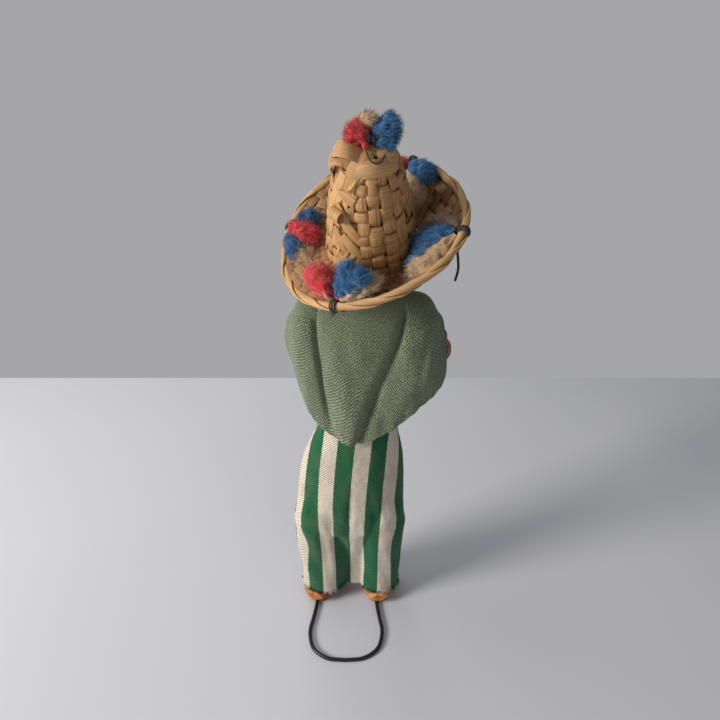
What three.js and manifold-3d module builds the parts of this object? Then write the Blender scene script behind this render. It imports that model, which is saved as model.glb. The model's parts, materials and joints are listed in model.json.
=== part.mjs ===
// A cloth doll on a wire stand, seen from behind in its photograph.
// Millimetres, +Z up. The doll faces +Y, so its right hand is on the +X side.
// Every piece is modelled about the middle of the two legs on the floor, and the whole
// doll is then moved so that its origin is the bottom centre of its bounding box.

import * as THREE from 'three';
import { mergeVertices } from 'three/addons/utils/BufferGeometryUtils.js';
import Module from 'manifold-3d';

const wasm = await Module();
wasm.setup();

// Clearances and thin stuffs
const gap = 0.35;
const clothThickness = 1.1;
const shirtThickness = 0.9;
const leatherThickness = 1.3;

// Stand wire
const wireDiameter = 2.4;
const standOffset = -2.5;
const uprightSpacing = 42.8;
const uprightHeight = 92;
const heelBendRadius = 8;
const loopWidth = 51.4;
const loopReach = 58.7;
const loopWidestReach = 37;

// Legs, shoes and trousers
const legSpacing = 40;
const hemHeight = 12;
const hemWidth = 31.6;
const hemDepth = 27;
const hemTurnUp = 5;
const kneeHeight = 42;
const kneeWidth = 34.4;
const kneeDepth = 30;
const crotchHeight = 68;
const thighWidth = 36.8;
const thighDepth = 34;
const hipHeight = 92;
const hipWidth = 71.6;
const hipDepth = 39;
const bellyHeight = 121;
const bellyWidth = 65.4;
const bellyDepth = 37;
const waistHeight = 152;
const waistWidth = 47;
const waistDepth = 30;
const ankleWidth = 17;
const ankleDepth = 16;
const shoeLength = 44;
const shoeWidth = 24;
const shoeHeight = 11.4;
const shoeHeelReach = 15;
const soleThickness = 1.6;
const soleWidth = 17;
const leftFootTurn = -28;

// Body, leaning a little to its right as it rises
const bodyLean = 9.7;
const leanStart = 60;
const leanEnd = 175;
const chestHeight = 196;
const chestWidth = 45;
const chestDepth = 29;
const neckHeight = 229;
const neckWidth = 15;
const neckLength = 4.5;
const spineOffset = 3.5;
const spineDiameter = 2;
const spineFoot = 104;

// Arms
const shoulderSpan = 56;
const shoulderHeight = 219;
const sleeveShoulderDiameter = 19;
const sleeveElbowDiameter = 20;
const sleeveCuffDiameter = 15;
const armWireDiameter = 1.6;
const armStub = 14;
const handLength = 17;
const handWidth = 11;
const thumbAngle = 35;
const armSwing = [-20, 20];
const rightElbow = [15.3, 4, -29];
const rightWrist = [2, 27, -36];
const leftElbow = [-10.7, 18, -25];
const leftWrist = [3.5, 42, -33];

// Poncho
const ponchoNeckRadius = 12;
const foldDepth = 3.5;
const drapeEase = 0.5;

// Head
const headWidth = 34;
const headHeight = 36;
const neckWrapDiameter = 12;

// Hat
const crownTilt = 31;
const crownLean = 3;
const crownRadius = 22;
const crownHeight = 59;
const crownWaistHeight = 28;
const crownWaistRadius = 18.4;
const crownShoulderHeight = 48;
const crownShoulderRadius = 13.6;
const palmThickness = 1.5;
const hatSeat = 7;
const rimRadius = 48.5;
const rimTilt = 31;
const rimLean = 22;
const rimOffset = [-1.2, -4.6, 9.2];
const brimFlat = 12;
const rimSaddle = -2.9;
const bindingDiameter = 5.6;
const tieDiameter = 1.2;
const looseThreadLength = 14;
const lockLength = 19;
const lockWidth = 10;
const lockSpread = 50;
const lockRise = 40;
const lockRootGap = 3.7;
const lockSeatAngle = 35;
const crownLockLength = 14.5;
const crownLockWidth = 10;
const knotRadius = 2.6;
const stripWidth = 6.5;
const stripThickness = 0.8;
const loopStandOff = 4;
const loopSpan = [232, 145];
const loopDrop = 7;
const curlPlace = [214, 30];
const curlRadius = 3.4;
const curlLength = 9;
const brimTufts = [
  { name: 'back_tuft', angle: 238, colours: ['red', 'cream', 'blue'] },
  { name: 'right_tuft', angle: 330, colours: ['cream', 'blue', 'brown'] },
  { name: 'front_tuft', angle: 47, colours: ['blue', 'cream', 'red'] },
  { name: 'left_tuft', angle: 148, colours: ['red', 'cream', 'blue'] },
];

const degrees = Math.PI / 180;
const vector = (x, y, z) => new THREE.Vector3(x, y, z);

// Plain geometry helpers

function closedGeometry(points, triangles) {
  const geometry = new THREE.BufferGeometry();
  const flat = points.flatMap((point) => [point.x, point.y, point.z]);
  geometry.setAttribute('position', new THREE.Float32BufferAttribute(flat, 3));
  let volume = 0;
  for (const [a, b, c] of triangles) {
    volume += points[a].dot(vector(0, 0, 0).crossVectors(points[b], points[c]));
  }
  const facing = volume > 0 ? triangles : triangles.map(([a, b, c]) => [a, c, b]);
  geometry.setIndex(facing.flat());
  return geometry;
}

// A closed skin through rings of the same number of points, with a fan over each end.
function loft(rings) {
  const count = rings[0].length;
  const points = rings.flat();
  const triangles = [];
  for (let i = 0; i + 1 < rings.length; i++) {
    for (let j = 0; j < count; j++) {
      const a = i * count + j;
      const b = i * count + (j + 1) % count;
      triangles.push([a, b, b + count], [a, b + count, a + count]);
    }
  }
  const capped = [[rings[0], 0, 1], [rings.at(-1), points.length - count, -1]];
  for (const [ring, start, turn] of capped) {
    const middle = points.length;
    const centre = ring.reduce((sum, point) => sum.add(point), vector(0, 0, 0));
    points.push(centre.divideScalar(count));
    for (let j = 0; j < count; j++) {
      const a = start + j;
      const b = start + (j + 1) % count;
      triangles.push(turn > 0 ? [middle, b, a] : [middle, a, b]);
    }
  }
  return closedGeometry(points, triangles);
}

// An upright loft of ellipses. Knots are vectors of full width, full depth and height.
function uprightLoft(knots, centre, { sides = 20, rings = 10, inset = 0 } = {}) {
  const curve = new THREE.CatmullRomCurve3(knots, false, 'centripetal');
  const list = [];
  for (let i = 0; i <= rings; i++) {
    const knot = curve.getPoint(i / rings);
    const middle = centre(knot.z);
    const ring = [];
    for (let j = 0; j < sides; j++) {
      const angle = 2 * Math.PI * j / sides;
      const x = middle.x + (knot.x / 2 - inset) * Math.cos(angle);
      const y = middle.y + (knot.y / 2 - inset) * Math.sin(angle);
      ring.push(vector(x, y, knot.z));
    }
    list.push(ring);
  }
  return loft(list);
}

// A round tube through points. The radius is a number or a function of the point's index.
function sweep(points, radius, sides = 8) {
  const radiusAt = typeof radius === 'function' ? radius : () => radius;
  const tangents = points.map((point, i) => {
    const before = points[Math.max(i - 1, 0)];
    const after = points[Math.min(i + 1, points.length - 1)];
    return after.clone().sub(before).normalize();
  });
  const start = Math.abs(tangents[0].z) > 0.9 ? vector(1, 0, 0) : vector(0, 0, 1);
  let normal = start.sub(tangents[0].clone().multiplyScalar(start.dot(tangents[0]))).normalize();
  const rings = points.map((point, i) => {
    normal = normal.clone().addScaledVector(tangents[i], -normal.dot(tangents[i])).normalize();
    const side = vector(0, 0, 0).crossVectors(tangents[i], normal);
    const ring = [];
    for (let j = 0; j < sides; j++) {
      const angle = 2 * Math.PI * (j + 0.5) / sides;
      const arm = normal.clone().multiplyScalar(Math.cos(angle)).addScaledVector(side, Math.sin(angle));
      ring.push(point.clone().addScaledVector(arm, radiusAt(i)));
    }
    return ring;
  });
  return loft(rings);
}

function samples(points, count, closed = false) {
  return new THREE.CatmullRomCurve3(points, closed, 'centripetal').getSpacedPoints(count);
}

// A sheet of cloth or palm: a surface of two parameters given half its thickness each way.
// The surface closes round on itself in u. With a pole, v = 0 is a single point.
function sheet(surface, countU, countV, thickness, pole = false) {
  const step = 1e-3;
  const layers = [thickness / 2, -thickness / 2].map((offset) => {
    const rows = [];
    for (let i = 0; i <= countV; i++) {
      const v = i / countV;
      const row = [];
      for (let j = 0; j < countU; j++) {
        const u = j / countU;
        const low = Math.max(v - step, pole ? step : 0);
        const inside = Math.max(v, step);
        const across = surface((u + step) % 1, inside).sub(surface((u - step + 1) % 1, inside));
        const along = surface(u, Math.min(v + step, 1)).sub(surface(u, low));
        const normal = vector(0, 0, 0).crossVectors(across, along).normalize();
        row.push(surface(u, v).addScaledVector(normal, offset));
      }
      rows.push(row);
    }
    return rows;
  });
  const points = [];
  const triangles = [];
  const indexOf = layers.map((rows) => rows.map((row, i) => {
    if (pole && i === 0) {
      const middle = row.reduce((sum, point) => sum.add(point), vector(0, 0, 0)).divideScalar(countU);
      points.push(middle);
      return row.map(() => points.length - 1);
    }
    return row.map((point) => points.push(point) - 1);
  }));
  const quad = (a, b, c, d) => {
    if (a !== b) triangles.push([a, b, c]);
    triangles.push([a, c, d]);
  };
  for (let i = 0; i < countV; i++) {
    for (let j = 0; j < countU; j++) {
      const k = (j + 1) % countU;
      const [outer, inner] = indexOf;
      quad(outer[i][j], outer[i][k], outer[i + 1][k], outer[i + 1][j]);
      quad(inner[i][k], inner[i][j], inner[i + 1][j], inner[i + 1][k]);
    }
  }
  for (let j = 0; j < countU; j++) {
    const k = (j + 1) % countU;
    const [outer, inner] = indexOf;
    quad(outer[countV][j], outer[countV][k], inner[countV][k], inner[countV][j]);
    if (!pole) quad(inner[0][j], inner[0][k], outer[0][k], outer[0][j]);
  }
  return closedGeometry(points, triangles);
}

function ball(centre, radii, columns = 16, rows = 10) {
  const geometry = new THREE.SphereGeometry(1, columns, rows);
  geometry.scale(radii.x, radii.y, radii.z);
  geometry.translate(centre.x, centre.y, centre.z);
  return geometry;
}

// A tube of straight runs that meet at mitres. It starts with a dome at its first point.
function mitredTube(points, radii, sides) {
  const directions = points.slice(1).map((point, i) => point.clone().sub(points[i]).normalize());
  const first = directions[0];
  const aside = Math.abs(first.z) > 0.9 ? vector(1, 0, 0) : vector(0, 0, 1);
  let normal = vector(0, 0, 0).crossVectors(first, aside).normalize();
  const circle = (centre, direction, radius) => {
    normal = normal.clone().addScaledVector(direction, -normal.dot(direction)).normalize();
    const side = vector(0, 0, 0).crossVectors(direction, normal);
    return Array.from({ length: sides }, (_, j) => {
      const angle = 2 * Math.PI * (j + 0.5) / sides;
      return centre.clone().addScaledVector(normal, radius * Math.cos(angle))
        .addScaledVector(side, radius * Math.sin(angle));
    });
  };
  const rings = [75, 48, 22, 0].map((rise) => {
    const back = points[0].clone().addScaledVector(first, -radii[0] * Math.sin(rise * degrees));
    return circle(back, first, radii[0] * Math.cos(rise * degrees));
  });
  for (let i = 1; i < points.length; i++) {
    const before = directions[i - 1];
    const after = directions[i] ?? before;
    const mitre = before.clone().add(after).normalize();
    rings.push(circle(points[i], before, radii[i]).map((point) => {
      const slide = points[i].clone().sub(point).dot(mitre) / before.dot(mitre);
      return point.addScaledVector(before, slide);
    }));
  }
  return loft(rings);
}

function solid(geometry) {
  const bare = geometry.clone();
  bare.deleteAttribute('normal');
  bare.deleteAttribute('uv');
  const merged = mergeVertices(bare, 1e-5);
  return new wasm.Manifold(new wasm.Mesh({
    numProp: 3,
    vertProperties: new Float32Array(merged.attributes.position.array),
    triVerts: new Uint32Array(merged.index.array),
  }));
}

function geometryOf(manifold) {
  const mesh = manifold.getMesh();
  const geometry = new THREE.BufferGeometry();
  geometry.setAttribute('position', new THREE.BufferAttribute(mesh.vertProperties, 3));
  geometry.setIndex(new THREE.BufferAttribute(mesh.triVerts, 1));
  return geometry;
}

// Materials, as the photograph shows them
const finish = (color, roughness, metalness = 0) =>
  new THREE.MeshStandardMaterial({ color, roughness, metalness });
const blackWire = finish(0x2a2c30, 0.45, 0.6);
const greyWire = finish(0x8a8a88, 0.4, 0.9);
const calico = finish(0xcdb99a, 0.95);
const skinCloth = finish(0xb98560, 0.9);
const blackYarn = finish(0x1b1716, 0.9);
const stripedTwill = finish(0x2f7a52, 0.95);
const greenCloth = finish(0x7f9674, 0.95);
const redBrownCloth = finish(0x7d342c, 0.95);
const tanLeather = finish(0xb8733a, 0.6);
const soleLeather = finish(0x8f5a30, 0.7);
const palm = finish(0xc39a63, 0.7);
const redWool = finish(0xc0303a, 1);
const blueWool = finish(0x24699f, 1);
const creamWool = finish(0xc2a583, 1);
const brownWool = finish(0x9b7f66, 1);

const doll = new THREE.Group();

function piece(name, shape, material) {
  const geometry = shape instanceof THREE.BufferGeometry ? shape : geometryOf(shape);
  const mesh = new THREE.Mesh(geometry, material);
  mesh.name = name;
  doll.add(mesh);
  return mesh;
}

// Stand wire: down both legs, out of the heels and round one loop on the floor.

const wireRadius = wireDiameter / 2;
const uprightY = heelBendRadius - shoeHeelReach + 2;
const wireSides = 8;
const wireLie = wireRadius * Math.cos(Math.PI / wireSides);

function standPath() {
  const half = [];
  const x = uprightSpacing / 2;
  half.push(vector(x, uprightY, uprightHeight), vector(x, uprightY, wireLie + heelBendRadius));
  for (let i = 1; i <= 4; i++) {
    const angle = i / 4 * 90 * degrees;
    const y = uprightY - heelBendRadius * (1 - Math.cos(angle));
    half.push(vector(x, y, wireLie + heelBendRadius * (1 - Math.sin(angle))));
  }
  const reach = loopReach - wireRadius;
  const wide = loopWidth / 2 - wireRadius;
  const floorCurve = [
    vector(x, -shoeHeelReach, wireLie),
    vector((x + wide) / 2, -(shoeHeelReach + loopWidestReach) / 2, wireLie),
    vector(wide, -loopWidestReach, wireLie),
    vector(wide * 0.86, -loopWidestReach - (reach - loopWidestReach) * 0.6, wireLie),
    vector(wide * 0.48, -loopWidestReach - (reach - loopWidestReach) * 0.94, wireLie),
    vector(0, -reach, wireLie),
  ];
  half.push(...samples(floorCurve, 10));
  const other = half.slice(0, -1).reverse().map((point) => vector(-point.x, point.y, point.z));
  return [...half, ...other].map((point) => point.clone().setX(point.x + standOffset));
}

const standPoints = standPath();
piece('stand_wire', sweep(standPoints, wireRadius, wireSides), blackWire);
const standSpace = solid(sweep(standPoints, (wireRadius + gap) / Math.cos(Math.PI / wireSides), wireSides));

// Centre line of the body

function leanAt(z) {
  const t = THREE.MathUtils.clamp((z - leanStart) / (leanEnd - leanStart), 0, 1);
  return bodyLean * t * t;
}
const bodyCentre = (z) => vector(leanAt(z), 0, z);

// Trousers: two legs and a seat, one open-ended skin

const seatKnots = [
  vector(hipWidth * 0.96, hipDepth * 0.85, crotchHeight * 0.97),
  vector(hipWidth, hipDepth, hipHeight),
  vector(bellyWidth, bellyDepth, bellyHeight),
  vector(waistWidth, waistDepth, waistHeight),
  vector(waistWidth, waistDepth, waistHeight + hemTurnUp),
];
const legKnots = [
  vector(hemWidth, hemDepth, hemHeight - hemTurnUp),
  vector(hemWidth, hemDepth, hemHeight),
  vector(kneeWidth, kneeDepth, kneeHeight),
  vector(thighWidth, thighDepth, crotchHeight),
  vector(thighWidth * 0.86, thighDepth * 0.91, hipHeight),
];
const legMiddle = (side) => () => vector(side * legSpacing / 2, 0, 0);
const seatSpace = (inset) => solid(uprightLoft(seatKnots, bodyCentre, { rings: 8, inset }));
const legSpace = (side, inset) =>
  solid(uprightLoft(legKnots, legMiddle(side), { sides: 16, rings: 8, inset }));
const trouserSpace = (inset) => seatSpace(inset).add(legSpace(-1, inset)).add(legSpace(1, inset));

const trouserSkin = trouserSpace(0).subtract(trouserSpace(clothThickness));
piece('trousers', trouserSkin.trimByPlane([0, 0, 1], hemHeight).trimByPlane([0, 0, -1], -waistHeight),
  stripedTwill);

// Legs with their feet, and the leather shoes round the feet

const stuffingInset = clothThickness + gap;
const ankleBack = -3;

function placeFoot(geometry, side) {
  geometry.rotateZ(side < 0 ? leftFootTurn * degrees : 0);
  geometry.translate(side * legSpacing / 2, 0, 0);
  return solid(geometry);
}

// The shoe is a soft moccasin: rings along its length, flat underneath.
function shoeForm(inset) {
  const rings = [];
  const count = 8;
  const floor = soleThickness + gap + inset;
  const top = shoeHeight - inset;
  for (let i = 0; i <= count; i++) {
    const share = i / count;
    const along = -shoeHeelReach + inset + (shoeLength - 2 * inset) * (1 - Math.cos(Math.PI * share)) / 2;
    const round = Math.max(Math.sin(Math.PI * share), 0.12) ** 0.55;
    const half = (shoeWidth / 2 - inset) * round;
    const rise = (top - floor) / 2 * (0.35 + 0.65 * round);
    const ring = [];
    for (let j = 0; j < 10; j++) {
      const angle = 2 * Math.PI * j / 10;
      ring.push(vector(half * Math.cos(angle), along, (top + floor) / 2 + rise * Math.sin(angle)));
    }
    rings.push(ring);
  }
  return loft(rings);
}

function soleForm() {
  const outline = new THREE.Shape();
  const half = soleWidth / 2;
  const heel = 2 - shoeHeelReach;
  const toe = shoeLength - shoeHeelReach - 2;
  outline.moveTo(0, heel);
  outline.bezierCurveTo(half * 1.1, heel, half * 0.7, 0, half, toe * 0.45);
  outline.bezierCurveTo(half * 1.2, toe * 0.85, half * 0.5, toe, 0, toe);
  outline.bezierCurveTo(-half * 0.5, toe, -half * 1.2, toe * 0.85, -half, toe * 0.45);
  outline.bezierCurveTo(-half * 0.7, 0, -half * 1.1, heel, 0, heel);
  return new THREE.ExtrudeGeometry(outline, { depth: soleThickness, bevelEnabled: false, curveSegments: 4 });
}

function ankle(side, extra) {
  const size = (z) => vector(ankleWidth + 2 * extra, ankleDepth + 2 * extra, z);
  const middle = () => vector(side * legSpacing / 2, ankleBack, 0);
  const knots = [size(shoeHeight / 2), size(hemHeight + hemTurnUp)];
  return solid(uprightLoft(knots, middle, { sides: 12, rings: 1 }));
}

for (const [name, side] of [['left', -1], ['right', 1]]) {
  const shank = legSpace(side, stuffingInset)
    .trimByPlane([0, 0, 1], hemHeight + gap)
    .trimByPlane([0, 0, -1], -crotchHeight);
  const foot = placeFoot(shoeForm(leatherThickness + gap), side);
  piece(`${name}_leg`, shank.add(ankle(side, 0)).add(foot).subtract(standSpace), calico);
  const upper = placeFoot(shoeForm(0), side)
    .subtract(placeFoot(shoeForm(leatherThickness), side))
    .subtract(ankle(side, gap));
  piece(`${name}_shoe_upper`, upper.subtract(standSpace), tanLeather);
  piece(`${name}_shoe_sole`, placeFoot(soleForm(), side).subtract(standSpace), soleLeather);
}

// Torso and shirt

const spineX = bodyLean + spineOffset;
const shoulderPivot = (side) => vector(bodyLean + side * shoulderSpan / 2, 0, shoulderHeight);
const chestKnots = [
  vector(waistWidth, waistDepth, waistHeight),
  vector(chestWidth, chestDepth, chestHeight),
  vector(shoulderSpan * 0.77, chestDepth * 0.9, shoulderHeight - 4),
  vector(neckWidth + 18, neckWidth + 6, neckHeight - 4),
  vector(neckWidth, neckWidth, neckHeight),
];
const chestSpace = (inset) => solid(uprightLoft(chestKnots, bodyCentre, { rings: 8, inset }));
const round = (radius) => vector(radius, radius, radius);

// Each arm turns at its shoulder about the line through both shoulders.
function makeArm(name, side, elbow, wrist) {
  const pivot = shoulderPivot(side);
  const bend = pivot.clone().add(vector(...elbow));
  const cuff = pivot.clone().add(vector(...wrist));
  const forward = cuff.clone().sub(bend).normalize();
  const crook = sleeveElbowDiameter * 0.35;
  const entry = bend.clone().addScaledVector(pivot.clone().sub(bend).normalize(), crook);
  const leave = bend.clone().addScaledVector(forward, crook);
  return { name, side, pivot, cuff, forward, entry, leave };
}

// The arm's outer form less an inset. The reach lengthens it at the cuff.
function limb({ pivot, entry, leave, cuff, forward }, inset, reach = 0) {
  const [top, middle, end] = [sleeveShoulderDiameter, sleeveElbowDiameter, sleeveCuffDiameter]
    .map((diameter) => diameter / 2 - inset);
  const tip = cuff.clone().addScaledVector(forward, reach);
  return solid(mitredTube([pivot, entry, leave, tip], [top, middle, middle, end], 14));
}

// The part of an arm above its elbow, which is all that swings inside the body
function upperArm({ pivot, entry }, inset) {
  const radii = [sleeveShoulderDiameter, sleeveElbowDiameter].map((diameter) => diameter / 2 - inset);
  return solid(mitredTube([pivot, entry], radii, 14));
}

const arms = [makeArm('left', -1, leftElbow, leftWrist), makeArm('right', 1, rightElbow, rightWrist)];

// What an arm needs clear through its whole swing, with the bore for its wire
function armSpace(arm) {
  const { pivot, side } = arm;
  const inner = pivot.clone().setX(pivot.x - side * (armStub + gap));
  const still = upperArm(arm, -gap);
  let space = still.add(solid(sweep([inner, pivot], armWireDiameter / 2 + gap, 10)));
  for (const angle of armSwing) {
    space = space.add(still.translate([-pivot.x, -pivot.y, -pivot.z]).rotate([angle, 0, 0])
      .translate([pivot.x, pivot.y, pivot.z]));
  }
  return space;
}
const bothArms = armSpace(arms[0]).add(armSpace(arms[1]));

const headCentre = vector(spineX, 0, neckHeight + neckLength + headHeight / 2);
const spineTop = headCentre.z + headHeight / 6;
const spineSpace = solid(sweep([vector(spineX, 0, spineFoot - gap), vector(spineX, 0, spineTop + gap)],
  (spineDiameter / 2 + gap) / Math.cos(15 * degrees), 12));
piece('spine_wire', sweep([vector(spineX, 0, spineFoot), vector(spineX, 0, spineTop)], spineDiameter / 2),
  greyWire);

const torso = seatSpace(stuffingInset).trimByPlane([0, 0, 1], crotchHeight + gap)
  .trimByPlane([0, 0, -1], -waistHeight).add(chestSpace(stuffingInset));
piece('torso', torso.subtract(spineSpace).subtract(standSpace).subtract(bothArms), calico);

const shirtInset = stuffingInset - gap - shirtThickness;
const shirt = chestSpace(shirtInset).subtract(chestSpace(stuffingInset - gap)).subtract(bothArms);
piece('shirt_body', shirt.trimByPlane([0, 0, 1], waistHeight + gap).trimByPlane([0, 0, -1], 2 - neckHeight),
  redBrownCloth);

// Arms: a wire core in stuffing, a sleeve and a mitten hand

for (const arm of arms) {
  const { name, side, pivot, cuff, forward, entry, leave } = arm;
  const palmCentre = cuff.clone().addScaledVector(forward, handLength * 0.35);
  const inward = [armStub, 3].map((reach) => pivot.clone().setX(pivot.x - side * reach));
  const shoulder = pivot.clone().lerp(entry, 0.15);
  const wirePoints = [inward[0], ...samples([inward[1], shoulder, entry, leave, cuff, palmCentre], 12)];
  const wireSpace = solid(sweep(wirePoints, armWireDiameter / 2 + gap, 8));
  const handSpace = (extra) => {
    const turn = new THREE.Quaternion().setFromUnitVectors(vector(0, 1, 0), forward);
    const mitten = new THREE.SphereGeometry(1, 12, 8);
    mitten.scale(handWidth / 2 + extra, handLength / 2 + extra, handWidth / 3 + extra);
    const thumb = new THREE.SphereGeometry(1, 8, 6);
    thumb.scale(handWidth / 6 + extra, handLength / 4 + extra, handWidth / 6 + extra);
    thumb.rotateZ(side * thumbAngle * degrees);
    thumb.translate(-side * handWidth * 0.48, 0, 0);
    return [mitten, thumb].map((geometry) => {
      geometry.applyQuaternion(turn);
      geometry.translate(palmCentre.x, palmCentre.y, palmCentre.z);
      return solid(geometry);
    }).reduce((sum, next) => sum.add(next));
  };
  piece(`${name}_arm_wire`, sweep(wirePoints, armWireDiameter / 2, 6), greyWire);
  const stuffing = limb(arm, shirtThickness + gap, -1).subtract(wireSpace);
  piece(`${name}_arm`, stuffing.subtract(handSpace(gap)), calico);
  const sleeve = limb(arm, 0).subtract(limb(arm, shirtThickness, 1)).subtract(wireSpace);
  piece(`${name}_sleeve`, sleeve.subtract(handSpace(gap)), redBrownCloth);
  piece(`${name}_hand`, handSpace(0).subtract(wireSpace), skinCloth);
}

// Poncho: one cloth through five closed lines, from the neck opening down to the hem

const around = Array.from({ length: 16 }, (_, i) => 22.5 * i);
const ellipseLine = (x, y, radiusX, radiusY, sideHeight, endHeight) => around.map((angle) => {
  const across = Math.cos(angle * degrees);
  const height = THREE.MathUtils.lerp(endHeight, sideHeight, across * across);
  return vector(x + radiusX * across, y + radiusY * Math.sin(angle * degrees), height);
});
const elbowLine = [
  [53.5, 0.5, 215], [49.5, 8.5, 211.5], [34, 15.5, 206], [21, 18, 198], [9.7, 18.5, 190], [-3, 18.5, 198],
  [-12, 19, 211], [-24, 21, 211], [-36.5, 11, 206], [-33, 1, 196], [-25, -9, 190], [-12, -15.5, 187],
  [6, -17.5, 184], [25, -17, 186], [41, -13, 189], [53, -7, 196],
];
const hemLine = [
  [56, 1, 211.5], [51, 11, 206], [35, 18, 193], [21, 20, 168], [9.7, 20.5, 152], [-2, 20, 168],
  [-10, 23, 202], [-25, 29.5, 204], [-38.5, 20, 196], [-33, 8, 180], [-25.5, -1, 168], [-14.5, -11, 156.5],
  [2.3, -17, 146.5], [21, -15, 153], [42, -7.5, 167], [57.5, -5.5, 181.5],
];
const ponchoLines = [
  ellipseLine(spineX, 0, ponchoNeckRadius, ponchoNeckRadius, neckHeight + 3, neckHeight + 3),
  ellipseLine(bodyLean, 0, shoulderSpan / 2 + 2, 13, neckHeight + 0.8, neckHeight - 2),
  ellipseLine(bodyLean, 0, shoulderSpan / 2 + 13, 17, shoulderHeight, shoulderHeight - 5),
  elbowLine.map((point) => vector(...point)),
  hemLine.map((point) => vector(...point)),
].map((points) => new THREE.CatmullRomCurve3(points, true, 'centripetal'));

// The cloth's back falls in three panels between creases, which run down to its point.
const creases = [
  [0.56, 0.56],
  [0.63, 0.72],
  [0.83, 0.775],
  [0.96, 0.96],
];

function panelSwell(u, v) {
  const edges = creases.map(([top, bottom]) => THREE.MathUtils.lerp(top, bottom, v));
  for (let i = 0; i + 1 < edges.length; i++) {
    const share = (u - edges[i]) / (edges[i + 1] - edges[i]);
    if (share > 0 && share < 1) return Math.sin(Math.PI * share) * THREE.MathUtils.smoothstep(v, 0.15, 0.6);
  }
  return 0;
}

const sleeveRuns = arms.flatMap(({ pivot, entry, leave, cuff }) =>
  [[pivot, entry], [entry, leave], [leave, cuff]].map(([from, to]) => new THREE.Line3(from, to)));

// Cloth that would pass through a sleeve lies on it instead.
function drape(point) {
  const reach = sleeveElbowDiameter / 2 + gap + clothThickness / 2 + drapeEase;
  const nearest = vector(0, 0, 0);
  for (let pass = 0; pass < 2; pass++) {
    for (const run of sleeveRuns) {
      run.closestPointToPoint(point, true, nearest);
      const away = point.clone().sub(nearest);
      if (away.length() < reach) point.copy(nearest).addScaledVector(away.normalize(), reach);
    }
  }
  return point;
}

function ponchoSurface(u, v) {
  const strand = ponchoLines.map((line) => line.getPoint(u));
  const point = new THREE.CatmullRomCurve3(strand, false, 'centripetal').getPoint(v);
  point.y -= foldDepth * panelSwell(u, v);
  return drape(point);
}
piece('poncho', sheet(ponchoSurface, 48, 9, clothThickness), greenCloth);

// Head and hair on the spine, under the hat

const headRadii = vector(headWidth / 2, headWidth / 2, headHeight / 2);
const grown = (radii, extra) => radii.clone().addScalar(extra);
const nose = solid(ball(vector(spineX, headWidth / 2 - 0.4, headCentre.z - 2), vector(2.4, 2.6, 3), 10, 8));
const neckTop = vector(spineX, 0, headCentre.z - headHeight / 4);
const neckWrap = solid(sweep([vector(spineX, 0, neckHeight + gap), neckTop], neckWrapDiameter / 2, 14))
  .subtract(solid(ball(headCentre, grown(headRadii, 2 * gap), 16, 10))).subtract(spineSpace);
piece('neck_wrap', neckWrap, calico);
piece('head', solid(ball(headCentre, headRadii, 16, 10)).add(nose).subtract(spineSpace), skinCloth);

function tilted(tilt, lean) {
  const turn = new THREE.Matrix4().makeRotationY(-lean * degrees);
  turn.multiply(new THREE.Matrix4().makeRotationX(tilt * degrees));
  const axes = { across: vector(0, 0, 0), ahead: vector(0, 0, 0), up: vector(0, 0, 0) };
  turn.extractBasis(axes.across, axes.ahead, axes.up);
  return axes;
}
const crownAxes = tilted(crownTilt, crownLean);
const rimAxes = tilted(rimTilt, rimLean);
const crownCentre = headCentre.clone().addScaledVector(crownAxes.up, hatSeat);
const rimCentre = crownCentre.clone().add(vector(...rimOffset));

const hairRadius = Math.hypot(crownRadius - palmThickness / 2 - gap - 0.2, hatSeat);
const faceLine = [1, 2 * hairRadius].map((y) => vector(spineX, y, headCentre.z - 6));
const faceWindow = solid(sweep(faceLine, 15, 16));
const hair = solid(ball(headCentre, round(hairRadius), 16, 10))
  .subtract(solid(ball(headCentre, grown(headRadii, gap), 16, 10)))
  .subtract(faceWindow);
piece('hair', hair.trimByPlane([0, 0, 1], headCentre.z - headHeight / 2 + 5), blackYarn);

// Hat: woven palm crown and brim in one skin, its edge wrapped with palm

const polar = (axes, angle) => axes.across.clone().multiplyScalar(Math.cos(angle))
  .addScaledVector(axes.ahead, Math.sin(angle));
const crownProfile = new THREE.SplineCurve([
  new THREE.Vector2(0, crownHeight),
  new THREE.Vector2(crownShoulderRadius * 0.6, crownHeight - 1.5),
  new THREE.Vector2(crownShoulderRadius, crownShoulderHeight),
  new THREE.Vector2(crownWaistRadius, crownWaistHeight),
  new THREE.Vector2(crownRadius, 0),
]);
const crownShare = 7 / 12;

function crownPoint(angle, share) {
  const profile = crownProfile.getPoint(share);
  return crownCentre.clone().addScaledVector(polar(crownAxes, angle), profile.x)
    .addScaledVector(crownAxes.up, profile.y);
}

function rimPoint(angle) {
  return rimCentre.clone().addScaledVector(polar(rimAxes, angle), rimRadius)
    .addScaledVector(rimAxes.up, rimSaddle * Math.cos(2 * angle));
}

function brimPoint(angle, share) {
  const base = crownPoint(angle, 1);
  const flare = base.clone().addScaledVector(polar(crownAxes, angle), brimFlat);
  const rim = rimPoint(angle);
  return new THREE.QuadraticBezierCurve3(base, flare, rim).getPoint(share);
}

function hatSurface(u, v) {
  const angle = 2 * Math.PI * u;
  return v < crownShare
    ? crownPoint(angle, v / crownShare)
    : brimPoint(angle, (v - crownShare) / (1 - crownShare));
}

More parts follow.
